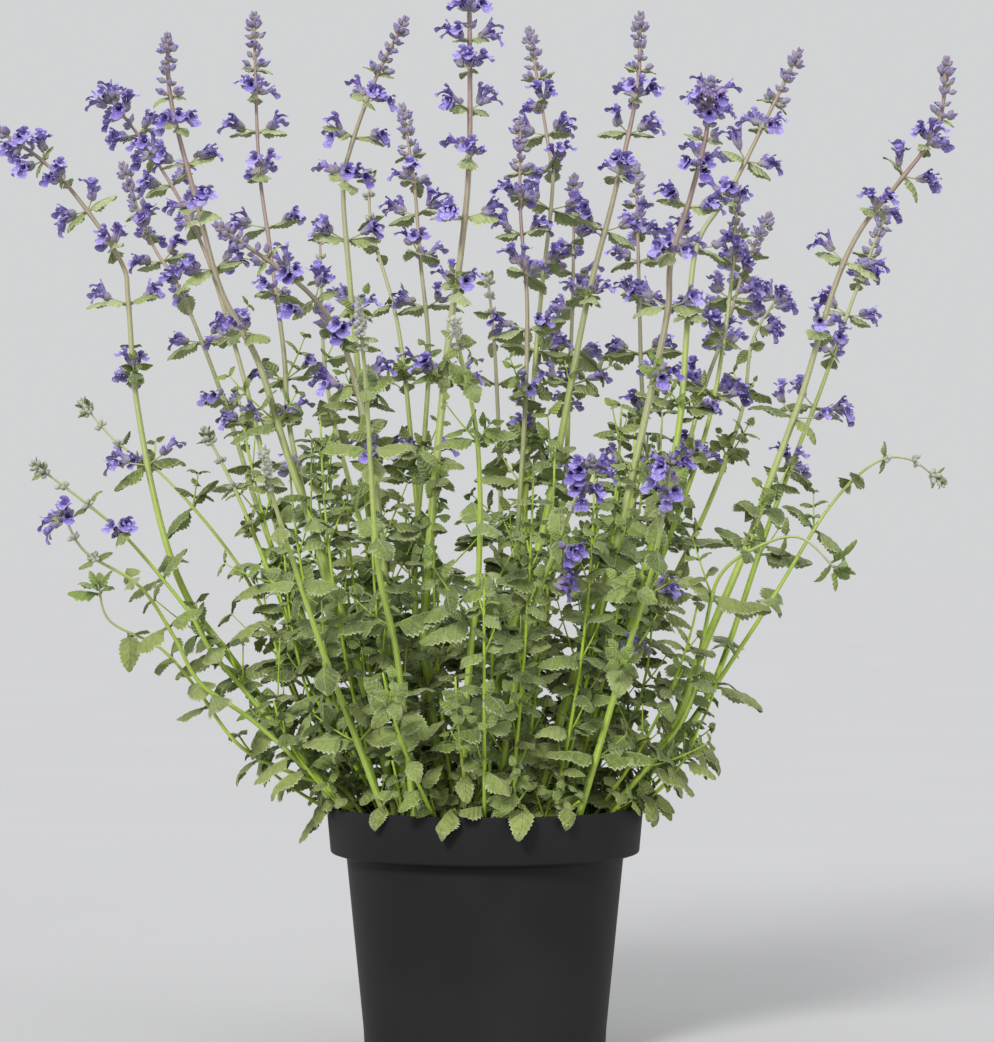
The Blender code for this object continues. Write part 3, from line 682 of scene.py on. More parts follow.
class Paint:
    """A material's nodes, made with short calls. A value is a number, a colour or a node's output."""

    def __init__(self, name):
        self.material = bpy.data.materials.new(name)
        self.material.use_nodes = True
        self.tree = self.material.node_tree
        self.shader = self.tree.nodes["Principled BSDF"]

    def node(self, kind, **settings):
        made = self.tree.nodes.new(kind)
        for name, value in settings.items():
            setattr(made, name, value)
        return made

    def plug(self, socket, value):
        if isinstance(value, bpy.types.NodeSocket):
            self.tree.links.new(value, socket)
        else:
            socket.default_value = value

    def math(self, operation, *values):
        made = self.node("ShaderNodeMath", operation=operation)
        for socket, value in zip(made.inputs, values):
            self.plug(socket, value)
        return made.outputs[0]

    def blend(self, share, first, second):
        made = self.node("ShaderNodeMix", data_type="RGBA")
        for place, value in ((0, share), (6, first), (7, second)):
            self.plug(made.inputs[place], value)
        return made.outputs[2]

    def darken(self, share, colour):
        """The colour, up to half as bright where share is 1."""
        made = self.node("ShaderNodeMix", data_type="RGBA", blend_type="MULTIPLY")
        for place, value in ((0, share), (6, colour), (7, (0.5, 0.5, 0.5, 1))):
            self.plug(made.inputs[place], value)
        return made.outputs[2]

    def between(self, value, low, high):
        """0 up to low, 1 from high on, and smooth in between. Low may be the larger one."""
        made = self.node("ShaderNodeMapRange", interpolation_type="SMOOTHSTEP")
        for name, number in (("Value", value), ("From Min", low), ("From Max", high)):
            self.plug(made.inputs[name], number)
        return made.outputs[0]

    def noise(self, scale, detail=3.0, rough=0.55):
        made = self.node("ShaderNodeTexNoise")
        place = self.node("ShaderNodeTexCoord")
        self.plug(made.inputs["Vector"], place.outputs["Object"])
        for name, value in (("Scale", scale), ("Detail", detail), ("Roughness", rough)):
            self.plug(made.inputs[name], value)
        return made.outputs[0]

    def speckle(self, scale):
        """Rounded cells, 0 in the middle of each."""
        made = self.node("ShaderNodeTexVoronoi")
        place = self.node("ShaderNodeTexCoord")
        self.plug(made.inputs["Vector"], place.outputs["Object"])
        self.plug(made.inputs["Scale"], scale)
        return made.outputs[0]

    def detail(self):
        """The three numbers of a point's detail."""
        found = self.node("ShaderNodeAttribute", attribute_name="detail")
        split = self.node("ShaderNodeSeparateXYZ")
        self.plug(split.inputs[0], found.outputs["Vector"])
        return split.outputs[0], split.outputs[1], split.outputs[2]

    def height(self):
        """How high above the pot's base a point is, in metres."""
        split = self.node("ShaderNodeSeparateXYZ")
        self.plug(split.inputs[0], self.node("ShaderNodeTexCoord").outputs["Object"])
        return split.outputs[2]

    def under(self):
        return self.node("ShaderNodeAttribute", attribute_name="under").outputs["Fac"]

    def finish(self, colour, roughness, height, depth, sheen=0.0, gloss=0.3):
        """Sets the shader's colour, roughness and bump. The bump is depth deep where height is 1."""
        bump = self.node("ShaderNodeBump")
        self.plug(bump.inputs["Height"], height)
        self.plug(bump.inputs["Distance"], depth)
        self.plug(self.shader.inputs["Normal"], bump.outputs[0])
        self.plug(self.shader.inputs["Base Color"], colour)
        self.plug(self.shader.inputs["Roughness"], roughness)
        self.plug(self.shader.inputs["Sheen Weight"], sheen)
        self.plug(self.shader.inputs["Specular IOR Level"], gloss)
        return self.material


def tone(code):
    """A colour from its usual six-digit code, as the shader takes it."""
    shares = [int(code[k:k + 2], 16) / 255 for k in (0, 2, 4)]
    return [c / 12.92 if c <= 0.04045 else ((c + 0.055) / 1.055) ** 2.4 for c in shares] + [1]


def leaf_material(name, dark, light):
    """Grey-green and downy, with sunken veins, puffed between them, and paler underneath. The lowest
    leaves are yellower."""
    paint = Paint(name)
    along, across, tint = paint.detail()
    out = paint.math("ABSOLUTE", across)
    slant = paint.math("SUBTRACT", along, paint.math("MULTIPLY", out, VEIN_SLANT))
    wave = paint.math("ABSOLUTE", paint.math("SINE", paint.math("MULTIPLY", slant, math.pi * VEINS)))
    side_veins = paint.between(wave, 0.34, 0.0)
    midrib = paint.between(out, 0.12, 0.02)
    veins = paint.math("MAXIMUM", paint.math("MULTIPLY", side_veins, 0.6), midrib)
    down = paint.noise(2600, 2.0)
    colour = paint.blend(tint, tone(dark), tone(light))
    patches = paint.math("MULTIPLY", paint.between(paint.noise(90), 0.42, 0.66), 0.45)
    low = paint.math("MULTIPLY", paint.between(paint.height(), 0.24, 0.15), 0.4)
    colour = paint.blend(paint.math("MAXIMUM", patches, low), colour, tone(LEAF_WARM))
    colour = paint.darken(paint.math("MULTIPLY", paint.between(paint.noise(300), 0.45, 0.75), 0.45), colour)
    mottle = paint.math("MULTIPLY", paint.between(paint.noise(1100, 2.0), 0.48, 0.72), 0.35)
    colour = paint.blend(mottle, colour, tone(LEAF_DOWN))
    colour = paint.blend(paint.math("MULTIPLY", veins, 0.5), colour, tone(LEAF_VEIN))
    colour = paint.blend(paint.math("MULTIPLY", paint.between(out, 0.84, 1.0), 0.65), colour, tone(LEAF_EDGE))
    colour = paint.blend(paint.math("MULTIPLY", paint.under(), 0.7), colour, tone(LEAF_BACK))
    puffed = paint.math("SUBTRACT", wave, paint.math("MULTIPLY", midrib, 1.2))
    height = paint.math("ADD", puffed, paint.math("MULTIPLY", down, 0.35))
    return paint.finish(colour, 0.75, height, 0.0005, sheen=0.12, gloss=0.22)


def stem_material():
    """Bright green low down, greyer further up and pinkish brown at the top. The ridges are paler."""
    paint = Paint("stem")
    high, ridge, tint = paint.detail()
    colour = paint.blend(paint.between(high, 0.25, 0.75), tone(STEM_LOW), tone(STEM_MIDDLE))
    colour = paint.blend(paint.between(high, 0.6, 1.0), colour, tone(STEM_HIGH))
    colour = paint.darken(paint.math("MULTIPLY", paint.between(paint.noise(300), 0.4, 0.8), 0.3), colour)
    colour = paint.darken(paint.math("MULTIPLY", tint, 0.15), colour)
    colour = paint.blend(paint.math("MULTIPLY", ridge, 0.35), colour, tone(STEM_RIDGE))
    return paint.finish(colour, 0.6, paint.noise(3200, 2.0), 0.00008, sheen=0.15, gloss=0.25)


def calyx_material(name, base, tip):
    """Ribbed and hairy, grey-green at the base and mauve towards the teeth."""
    paint = Paint(name)
    along, rib, tint = paint.detail()
    colour = paint.blend(paint.between(along, 0.1, 0.9), tone(base), tone(tip))
    colour = paint.blend(paint.math("MULTIPLY", rib, 0.3), colour, tone(CALYX_RIB))
    colour = paint.blend(paint.math("MULTIPLY", tint, 0.3), colour, tone(CALYX_SHADE))
    colour = paint.darken(paint.math("MULTIPLY", paint.between(paint.noise(600), 0.4, 0.7), 0.4), colour)
    return paint.finish(colour, 0.8, paint.noise(3000, 2.0), 0.0003, sheen=0.2, gloss=0.2)


def corolla_material():
    """Violet-blue, with a painted highlight towards the lips' edges, painted shade in the throat and towards the
    tube's base, and dark spots on the lower lip.
    """
    paint = Paint("corolla")
    along, down, tint = paint.detail()
    colour = paint.blend(tint, tone(VIOLET), tone(VIOLET_LIGHT))
    folds = paint.between(paint.noise(650), 0.42, 0.66)
    colour = paint.blend(paint.math("MULTIPLY", folds, 0.6), colour, tone(VIOLET_DEEP))
    # Painted shade: the tube is deeper violet towards its base, where it sits inside the calyx
    tube = paint.between(along, 0.7, 0.3)
    colour = paint.blend(paint.math("MULTIPLY", tube, 0.5), colour, tone(VIOLET_DEEP))
    # Painted highlight: the lobes grow paler violet towards their ends
    colour = paint.blend(paint.math("MULTIPLY", paint.between(along, 0.76, 1.0), 0.5), colour, tone(VIOLET_LIGHT))
    # Painted shade in the throat: deeper violet round the tube's mouth, where the lobes begin
    throat_shade = paint.math("MULTIPLY", paint.between(along, 0.5, 0.62), paint.between(along, 0.78, 0.66))
    colour = paint.blend(paint.math("MULTIPLY", throat_shade, 0.6), colour, tone(VIOLET_DEEP))
    lower = paint.math("MULTIPLY", paint.between(down, 0.6, 0.75), paint.between(along, 0.68, 0.8))
    spots = paint.math("MULTIPLY", paint.between(paint.speckle(1500), 0.42, 0.2), lower)
    colour = paint.blend(paint.math("MULTIPLY", spots, 0.7), colour, tone(VIOLET_SPOT))
    return paint.finish(colour, 0.65, paint.noise(1300, 2.0), 0.0003, sheen=0.1, gloss=0.2)


def woolly_material(name, mauve):
    """The pale down over a young tip, with some mauve showing through."""
    paint = Paint(name)
    along, rib, tint = paint.detail()
    colour = paint.blend(paint.between(paint.noise(700), 0.35, 0.7), tone(WOOL), tone(WOOL_SHADE))
    shows = paint.math("MULTIPLY", paint.math("ADD", tint, mauve), 0.4)
    colour = paint.blend(shows, colour, tone(WOOL_MAUVE))
    return paint.finish(colour, 0.85, paint.noise(2400, 3.0), 0.0004, sheen=0.3, gloss=0.2)


def down_material():
    """The pale hairs that stand on the stems."""
    paint = Paint("down")
    colour = paint.blend(paint.noise(400), tone(DOWN_LIGHT), tone(DOWN_SHADE))
    return paint.finish(colour, 0.8, paint.noise(900), 0.0001, sheen=0.2, gloss=0.2)


def pot_material():
    """Moulded black plastic: a fine grain, dusty grey patches and faint rubbed marks."""
    paint = Paint("pot_plastic")
    patches = paint.between(paint.noise(9), 0.35, 0.7)
    colour = paint.blend(patches, tone(POT_DARK), tone(POT_LIGHT))
    marks = paint.between(paint.noise(60, 6.0, 0.7), 0.62, 0.8)
    colour = paint.blend(paint.math("MULTIPLY", marks, 0.3), colour, tone(POT_MARK))
    roughness = paint.math("ADD", 0.52, paint.math("MULTIPLY", patches, 0.1))
    return paint.finish(colour, roughness, paint.noise(2200, 2.0), 0.00004, gloss=0.1)


def soil_material():
    """Dark, damp peat with paler crumbs."""
    paint = Paint("peat")
    crumbs = paint.between(paint.noise(300, 5.0, 0.7), 0.4, 0.7)
    colour = paint.blend(crumbs, tone(SOIL_DARK), tone(SOIL_LIGHT))
    return paint.finish(colour, 0.9, paint.noise(420, 6.0, 0.7), 0.0012)


def make_materials():
    return {
        "stem": stem_material(),
        "leaf": leaf_material("leaf", LEAF_DARK, LEAF_LIGHT),
        "young": leaf_material("young_leaf", YOUNG_DARK, YOUNG_LIGHT),
        "bract": leaf_material("bract", BRACT_DARK, BRACT_LIGHT),
        "calyx": calyx_material("calyx", CALYX_BASE, CALYX_TIP),
        "young_calyx": calyx_material("young_calyx", YOUNG_CALYX_BASE, YOUNG_CALYX_TIP),
        "rosy_calyx": calyx_material("rosy_calyx", ROSY_CALYX_BASE, ROSY_CALYX_TIP),
        "pale": calyx_material("pale_calyx", PALE_BASE, PALE_TIP),
        "down": down_material(),
        "corolla": corolla_material(),
        "wool": woolly_material("wool", 0.0),
        "rosy_wool": woolly_material("rosy_wool", 0.9),
        "pot": pot_material(),
        "soil": soil_material(),
    }


def frames_along(places):
    """The way, the level side and the upper side at each place of a line."""
    ways = np.gradient(places, axis=0)
    ways /= np.linalg.norm(ways, axis=1)[:, None]
    aside = np.array([0, 1.0, 0]) if abs(ways[0][1]) < 0.8 else np.array([0, 0, 1.0])
    level = np.cross(aside, ways)
    level /= np.linalg.norm(level, axis=1)[:, None]
    return ways, level, np.cross(ways, level)


def tube(places, radii, section):
    """Rings along a line. The section gives each ring's radii, as shares, from its first point round."""
    _, level, above = frames_along(places)
    angles = np.arange(len(section)) * 2 * math.pi / len(section)
    out = level[:, None] * np.cos(angles)[None, :, None] + above[:, None] * np.sin(angles)[None, :, None]
    rings = places[:, None] + out * (np.asarray(radii)[:, None] * np.asarray(section)[None])[..., None]
    return rings.reshape(-1, 3)


def ends(rows, columns):
    """The two faces that close a tube."""
    first = np.arange(columns)[None, ::-1]
    return [first.copy(), np.arange(columns)[None] + (rows - 1) * columns]


def add_stem(piece, materials, line, runs, radii, share_high, tint):
    """A square stem with raised ridges. One that starts at the root goes down into the soil. Its ends
    have points of their own, so that its shading doesn't jump where two pieces meet."""
    places = at_run(line, runs)
    if runs[0] == 0:
        places[0, 2] -= ROOT_DEPTH
    section = np.tile(RIDGED, 4)
    points = tube(places, radii, section)
    ridge = np.tile(np.tile([1.0, 0, 0], 4), len(runs))
    high = np.repeat(share_high, len(section))
    detail = np.column_stack([high, ridge, np.full(len(high), tint)])
    piece.add(points, [blocks(len(runs), len(section), True)], materials["stem"], detail)
    both = np.r_[:len(section), len(points) - len(section):len(points)]
    piece.add(points[both], ends(2, len(section)), materials["stem"], detail[both])


def add_down(piece, materials, line, runs, radii, draw):
    """Fine hairs all round the upper stretch of a stem."""
    low = max(runs[0], DOWNY_FROM * (len(line) - 1) * STEP)
    count = int((runs[-1] - low) / HAIR_GAP)
    if count < 1:
        return
    chosen = draw.uniform(low, runs[-1], count)
    places = at_run(line, chosen)
    way = unit(line[-1] - line[len(line) // 2])
    level = unit(np.cross(way, np.array([0, 1.0, 0])))
    turn = draw.uniform(0, 2 * math.pi, count)[:, None]
    outs = level * np.cos(turn) + np.cross(way, level) * np.sin(turn)
    roots = places + outs * (np.interp(chosen, runs, radii) * 0.92)[:, None]
    hairs, faces = hairs_on(roots, outs, HAIR_LENGTH, draw)
    piece.add(hairs, [faces], materials["down"], (0, 0, 0))


def leaf_rows(teeth):
    """The stations along a leaf, as shares of its length, with the half width at each and its edge's.
    Last, which of the stations the underside has: all but the teeth's crests."""
    notches = np.arange(1, teeth) / teeth
    crests = (np.arange(teeth) + TOOTH_LEAN) / teeth
    blade = np.sort(np.concatenate([notches, crests, [1.0]]))
    half = LEAF_HALF * np.sin(math.pi * np.minimum(blade, 0.985) ** 0.62) ** 0.56
    tooth = np.where(np.isin(blade, notches), 1 - TOOTH_DEPTH, 1.0)
    shares = np.concatenate([np.array([0, 0.5, 1]) * LEAF_STALK, LEAF_STALK + (1 - LEAF_STALK) * blade])
    narrow = np.array([0.024, 0.02, 0.03])
    is_under = np.concatenate([[True] * 3, ~np.isin(blade, crests)])
    return shares, np.concatenate([narrow, half]), np.concatenate([narrow, half * tooth]), is_under


def add_blade(piece, material, leaf, teeth, sides, tint, draw):
    """A leaf on its stalk: toothed, arched, puffed between its veins, with an underside and a midrib."""
    if leaf.at[2] < RIM_WATCH and not clear_of_pot(blade_points(leaf)).all():
        return
    shares, half, edge, is_under = leaf_rows(teeth)
    across = np.linspace(-1, 1, 2 * sides + 1)[None]
    growth = np.clip((shares - LEAF_STALK) / (1 - LEAF_STALK), 0, 1)[:, None]
    out = across * np.where(np.abs(across) == 1, edge[:, None], half[:, None])
    veins = np.abs(np.sin(math.pi * VEINS * (growth - VEIN_SLANT * np.abs(across))))
    puff = 0.02 * veins * (1 - across**2) * np.minimum(1, growth * 6)
    wave = 0.03 * np.sin(growth * 9 + draw.uniform(0, 6) + 2 * across) * np.abs(across)
    rise = puff + wave - draw.uniform(*FOLD) * np.abs(out)
    aside = out + draw.uniform(-0.14, 0.14) * shares[:, None] ** 2
    forward, down, lean = arch(shares, ARCH * leaf.droop * shares + draw.uniform(*TIP_CURL) * growth[:, 0] ** 3)
    place = (leaf.along * (forward + rise * np.sin(lean))[..., None] + leaf.across * aside[..., None]
             + leaf.normal * (rise * np.cos(lean) - down)[..., None])
    top = leaf.at + leaf.length * place
    detail = np.stack(np.broadcast_arrays(growth, across, tint), axis=-1)
    rows = len(shares)
    piece.add(top.reshape(-1, 3), [blocks(rows, 2 * sides + 1, False)], material, detail.reshape(-1, 3))
    thick = np.where(shares < LEAF_STALK * 1.02, STALK_THICK, BLADE_THICK) + MIDRIB * (1 - growth[:, 0])
    back = (top[:, ::sides] - leaf.normal * (thick[:, None] * np.array([0, 1, 0]))[..., None])[is_under]
    piece.add(back.reshape(-1, 3), [blocks(len(back), 3, False)[:, ::-1]], material,
              detail[is_under][:, ::sides].reshape(-1, 3), 1.0)


def arch(shares, lean):
    """How far forward and down a line of length 1 gets that leans down by these angles along it."""
    middle = (lean + np.concatenate([lean[:1], lean[:-1]])) / 2
    steps = np.diff(shares, prepend=0.0)
    forward = np.cumsum(steps * np.cos(middle))
    down = np.cumsum(steps * np.sin(middle))
    return forward[:, None], down[:, None], lean[:, None]


def leaf_on(at, along, up, length, droop):
    """A leaf at a place, pointing along, with its upper side towards up."""
    along = unit(along)
    across = unit(np.cross(up, along))
    return Leaf(at, along, across, np.cross(along, across), length, droop)


def turned_round(vector, axis, angle):
    """The vector, turned round an axis."""
    return (vector * math.cos(angle) + np.cross(axis, vector) * math.sin(angle)
            + axis * np.dot(axis, vector) * (1 - math.cos(angle)))


def add_side_shoot(piece, materials, at, way, reach, pairs, largest, draw, tint):
    """A little shoot in a leaf's axil, with pairs of small leaves, each pair across the one below."""
    up = unit(way)
    level = unit(np.cross(up, np.array([0.3, 1.0, 0.2])))
    bow = np.cross(up, level) * draw.uniform(-0.2, 0.2) + np.array([0, 0, 0.2])
    shares = np.linspace(0, 1, 5)
    line = at + reach * (up * shares[:, None] + bow * shares[:, None] ** 2)
    radii = np.linspace(SIDE_STEM, SIDE_STEM * 0.5, 5)
    points = tube(line, radii, np.ones(5))
    detail = np.column_stack([np.full(len(points), 0.35), np.zeros(len(points)), np.full(len(points), tint)])
    piece.add(points, [blocks(5, 5, True), *ends(5, 5)], materials["stem"], detail)
    turn = draw.uniform(0, math.pi)
    for number in range(pairs):
        share = 0.35 + 0.65 * number / max(1, pairs - 1)
        place = at + reach * (up * share + bow * share**2)
        size = largest * (1 - 0.6 * number / pairs) * draw.uniform(0.85, 1.1)
        for side in (0, math.pi):
            out = turned_round(level, up, turn + side + number * math.pi / 2)
            rise = draw.uniform(0.3, 0.7) + 0.3 * number / pairs
            along = out * math.cos(rise) + up * math.sin(rise)
            leaf = leaf_on(place, along, up, size, draw.uniform(0.15, 0.6))
            shade = min(1, max(0, tint + draw.uniform(-0.35, 0.35)))
            is_small = size < SMALL_LEAF
            add_blade(piece, materials["young" if is_small else "leaf"], leaf, 5 if is_small else 7,
                      1 if is_small else 2, shade, draw)


def hairs_on(points, outs, length, draw):
    """A hair at each of the points: a narrow triangle that stands out and leans a little."""
    count = len(points)
    lean = draw.uniform(-0.4, 0.4, (count, 3))
    tips = points + (outs + lean) * length * draw.uniform(0.6, 1.1, (count, 1))
    aside = np.cross(outs, draw.normal(size=(count, 3)))
    aside *= HAIR_WIDTH / 2 / np.maximum(np.linalg.norm(aside, axis=1), 1e-9)[:, None]
    corners = np.stack([points - aside, points + aside, tips], axis=1)
    return corners.reshape(-1, 3), np.arange(3 * count).reshape(count, 3)


def with_hairs(shape, count, length):
    """The shape, with this many hairs standing on it."""
    points, faces, along, extra = shape
    draw = np.random.default_rng(SEED)
    chosen = draw.integers(0, len(points), count)
    outs = points[chosen] * (1, 1, 0)
    outs = outs / np.maximum(np.linalg.norm(outs, axis=1), 1e-9)[:, None]
    hairs, hair_faces = hairs_on(points[chosen], outs, length, draw)
    along = np.concatenate([along, np.repeat(along[chosen], 3)])
    extra = np.concatenate([extra, np.ones(3 * count)])
    return np.vstack([points, hairs]), [*faces, hair_faces + len(points)], along, extra


def calyx_shape():
    """A calyx, base first along +Z, as rings of ten points, with its five teeth in the last ring."""
    angles = np.arange(10) * math.pi / 5
    even = np.arange(10) % 2 == 0
    rows = [(0.45, 0.0), (1.15, 1.6), (1.3, 3.8)]
    rings = [np.column_stack([r * np.cos(angles) * np.where(even, 1.08, 0.94),
                              r * np.sin(angles) * np.where(even, 1.08, 0.94),
                              np.full(10, z)]) for r, z in rows]
    out = np.where(even, 1.5, 1.2)
    rings.append(np.column_stack([out * np.cos(angles), out * np.sin(angles), np.where(even, 6.2, 4.4)]))
    along = np.repeat([0, 0.35, 0.7, 1.0], 10)
    rib = np.tile(even.astype(float), 4)
    shape = np.vstack(rings) * MM, [blocks(4, 10, True), np.arange(10)[None, ::-1].copy()], along, rib
    return with_hairs(shape, CALYX_HAIRS, HAIR_LENGTH)


def corolla_shape():
    """A two-lipped corolla along +Z with its upper lip towards +Y: a tube, and the lobes at its mouth."""
    sides = 8
    angles = np.arange(sides) * 2 * math.pi / sides
    rings = [np.column_stack([r * np.sin(angles), r * np.cos(angles) + nod, np.full(sides, z)])
             for r, z, nod in TUBE]
    points = [np.vstack(rings)]
    faces = [blocks(len(TUBE), sides, True)]
    along = [np.repeat([0.0, 0.35, 0.62], sides)]
    down = [np.tile((1 - np.cos(angles)) / 2, len(TUBE))]
    for lobe in LOBES:
        patch, rows, columns = lobe_patch(lobe)
        faces.append(blocks(rows, columns, False) + sum(len(some) for some in points))
        points.append(patch)
        along.append(np.repeat(np.linspace(0.62, 1.0, rows), columns))
        down.append(np.full(len(patch), (1 - math.cos(math.radians(lobe.turn))) / 2))
    return np.vstack(points) * MM, faces, np.concatenate(along), np.concatenate(down)


def lobe_patch(lobe):
    """A lobe of the corolla as rows of points, out from the mouth of the tube. It widens to a round
    end, bends back from its first lean to its last, and its edges curl forward."""
    out, across = np.meshgrid(np.linspace(0, 1, lobe.rows), np.linspace(-1, 1, lobe.columns), indexing="ij")
    mouth, ahead, nod = TUBE[-1]
    turn = math.radians(lobe.turn)
    radial = np.array([math.sin(turn), math.cos(turn), 0])
    aside = np.array([math.cos(turn), -math.sin(turn), 0])
    onward = np.array([0, 0, 1.0])
    lean = np.radians(np.interp(np.linspace(0, 1, lobe.rows), (0, 1), lobe.leans))
    step = lobe.length / (lobe.rows - 1)
    ways = np.sin(lean)[:, None] * radial + np.cos(lean)[:, None] * onward
    fronts = np.sin(lean)[:, None] * onward - np.cos(lean)[:, None] * radial
    centre = np.array([0, nod, ahead]) + mouth * 0.9 * radial + np.vstack([np.zeros(3), np.cumsum(
        (ways[1:] + ways[:-1]) / 2 * step, axis=0)])
    wide = lobe.half * np.sin(math.pi * (0.16 + 0.66 * out)) ** 0.8
    back = lobe.length * out**2 * (0.34 * across**2 + lobe.notch * (1 - np.abs(across)))
    curl = lobe.cup * across**2 * np.minimum(1, out * 1.5)
    patch = (centre[:, None] + aside * (across * wide)[..., None] + fronts[:, None] * curl[..., None]
             - ways[:, None] * back[..., None])
    return patch.reshape(-1, 3), lobe.rows, lobe.columns


def bud_shape():
    """The closed tip of a corolla, showing above its calyx's teeth."""
    rows = ((0.9, 3.6), (1.25, 5.6), (0.4, 7.8))
    return ribbed_shape(rows, 6, 0.0)


def closed_shape():
    """A calyx that is still closed: a ribbed egg with a blunt tip."""
    rows = ((0.5, 0.0), (1.6, 1.5), (1.75, 3.4), (0.6, 5.4))
    return with_hairs(ribbed_shape(rows, 8, 0.08), CALYX_HAIRS, HAIR_LENGTH)


def ribbed_shape(rows, sides, rib):
    """Rings of points along +Z, one for each (radius, along) in millimetres, closed at the far end."""
    angles = np.arange(sides) * 2 * math.pi / sides
    even = np.arange(sides) % 2 == 0
    ribs = 1 + rib * np.where(even, 1, -1)
    rings = [np.column_stack([r * ribs * np.cos(angles), r * ribs * np.sin(angles), np.full(sides, z)])
             for r, z in rows]
    along = np.repeat(np.linspace(0, 1, len(rows)), sides)
    faces = [blocks(len(rows), sides, True), np.arange(sides)[None] + sides * (len(rows) - 1)]
    return np.vstack(rings) * MM, faces, along, np.tile(even.astype(float), len(rows))


def frame_of(way, sky):
    """A frame as three rows: a level side, an upper side, and the way."""
    way = unit(way)
    side = unit(np.cross(way, sky))
    return np.array([side, np.cross(side, way), way])


def add_shape(piece, material, shape, at, frame, scale, tint):
    points, faces, along, extra = shape
    detail = np.column_stack([along, extra, np.full(len(along), tint)])
    piece.add(at + scale * points @ frame, faces, material, detail)


def add_stalk(piece, materials, start, end, radius, high, tint):
    """A short straight stalk."""
    line = start + (end - start) * np.linspace(0, 1, 3)[:, None]
    points = tube(line, np.full(3, radius), np.ones(5))
    detail = np.column_stack([np.full(15, high), np.zeros(15), np.full(15, tint)])
    piece.add(points, [blocks(3, 5, True), *ends(3, 5)], materials["stem"], detail)


def add_cyme(piece, materials, shapes, node, way, stalk, opens, closed, size, draw, calyx="calyx"):
    """A small branched head: its stalk, then open flowers and closed buds, each with its calyx."""
    sky = np.array([0, 0, 1.0])
    centre = node.at + way * stalk
    add_stalk(piece, materials, node.at, centre + way * 0.001, 0.0005, 0.7, draw.random())
    side = unit(np.cross(way, node.up))
    above = np.cross(side, way)
    count = opens + closed
    order = [True] * opens + [False] * closed
    draw.shuffle(order)
    for number, is_open in enumerate(order):
        fan = (number + 0.5) / count * 2 - 1
        rise = draw.uniform(-0.3, 0.8)
        out = unit(way + side * (1.0 * fan + draw.uniform(-0.2, 0.2)) + above * rise)
        at = centre + side * fan * 0.0018 + above * draw.uniform(-0.001, 0.0015) - way * draw.uniform(0, 0.003)
        grown = size * draw.uniform(0.85, 1.12)
        tint = draw.random()
        if is_open:
            add_shape(piece, materials[calyx], shapes["calyx"], at, frame_of(out, sky), grown, tint)
            lifted = frame_of(out + sky * draw.uniform(-0.15, 0.25), sky)
            add_shape(piece, materials["corolla"], shapes["corolla"], at, lifted, grown, tint)
            continue
        add_shape(piece, materials[calyx], shapes["closed"], at, frame_of(out, sky), grown * 0.9, tint)
        if calyx != "pale" and draw.random() < 0.45:
            add_shape(piece, materials["corolla"], shapes["bud"], at, frame_of(out, sky), grown * 0.8, tint)


def add_whorl(piece, materials, shapes, node, draw, sides=(1, -1)):
    """The flowers of a node: a head on each side of the stem."""
    number = node.number
    for side in sides:
        if node.blooms == "buds":
            way = turned_out(node, draw.uniform(-0.2, 0.2), draw.uniform(0.3, 0.7), side)
            add_cyme(piece, materials, shapes, node, way, 0.0028 + 0.001 * number, 0, 3,
                     0.95 + 0.08 * number, draw, "young_calyx")
            continue
        way = turned_out(node, draw.uniform(-0.2, 0.2), draw.uniform(0.2, 0.6), side)
        stalk = 0.0035 + 0.0012 * min(number, 6) + draw.uniform(0, 0.003)
        is_upper = number < SPIKE_NODES
        opens = draw.choice((3, 3, 4, 4) if is_upper else (2, 2, 3))
        closed = draw.choice((2, 3, 4) if is_upper else (1, 2))
        add_cyme(piece, materials, shapes, node, way, stalk, opens, closed, FLOWER_SCALE, draw)


def add_young_whorls(piece, materials, shapes, line, rows, draw):
    """A few buds between the youngest nodes of a spike."""
    young = [node for node, _, _ in rows if node.number < BUD_NODES["spike"]]
    for upper, lower in zip(young, young[1:]):
        run = (upper.run + lower.run) / 2
        node = upper._replace(at=at_run(line, [run])[0], out=unit(upper.out + np.cross(upper.up, upper.out)))
        for side in (1, -1):
            way = turned_out(node, draw.uniform(-0.4, 0.4), draw.uniform(0.4, 0.8), side)
            add_cyme(piece, materials, shapes, node, way, 0.0026, 0, 2, 0.94, draw, "young_calyx")


def add_crown(piece, materials, shapes, line, draw, calyx="young_calyx"):
    """The youngest buds, packed round the very tip."""
    length = (len(line) - 1) * STEP
    for back, count, size, rise in CROWN:
        end, before = at_run(line, [length - back, length - back - 0.004])
        up = unit(end - before)
        level = unit(np.cross(up, np.array([0.2, 1.0, 0.1])))
        turn = draw.uniform(0, math.pi)
        for number in range(count):
            out = turned_round(level, up, turn + number * 2 * math.pi / count)
            way = out * math.cos(rise) + up * math.sin(rise)
            at = end + out * 0.0006
            add_shape(piece, materials[calyx], shapes["closed"], at, frame_of(way, up + out * 0.01), size,
                      draw.random())


def add_tip(piece, materials, shapes, shoot, line, draw):
    """What closes a short shoot: young leaves folded round each other, or a woolly head of buds."""
    if shoot.name in WOOLLY:
        add_woolly_head(piece, materials, shapes, line, draw, WOOLLY[shoot.name])
        return
    if shoot.bears == "buds":
        add_crown(piece, materials, shapes, line, draw, "young_calyx" if shoot.name in FLOWERY else "pale")
    length = (len(line) - 1) * STEP
    end, before = at_run(line, [length, length - 0.006])
    up = unit(end - before)
    level = unit(np.cross(up, np.array([0.2, 1.0, 0.1])))
    for number in range(6):
        share = number / 6
        out = turned_round(level, up, number * 2.4)
        rise = 0.4 + 0.9 * share
        way = out * math.cos(rise) + up * math.sin(rise)
        size = YOUNGEST_LEAVES[shoot.bears] * (1.1 - 0.6 * share)
        leaf = leaf_on(end - up * 0.006 * (1 - share), way, up, size, 0.2)
        add_blade(piece, materials["young"], leaf, 4, 1, draw.uniform(0.3, 1), draw)


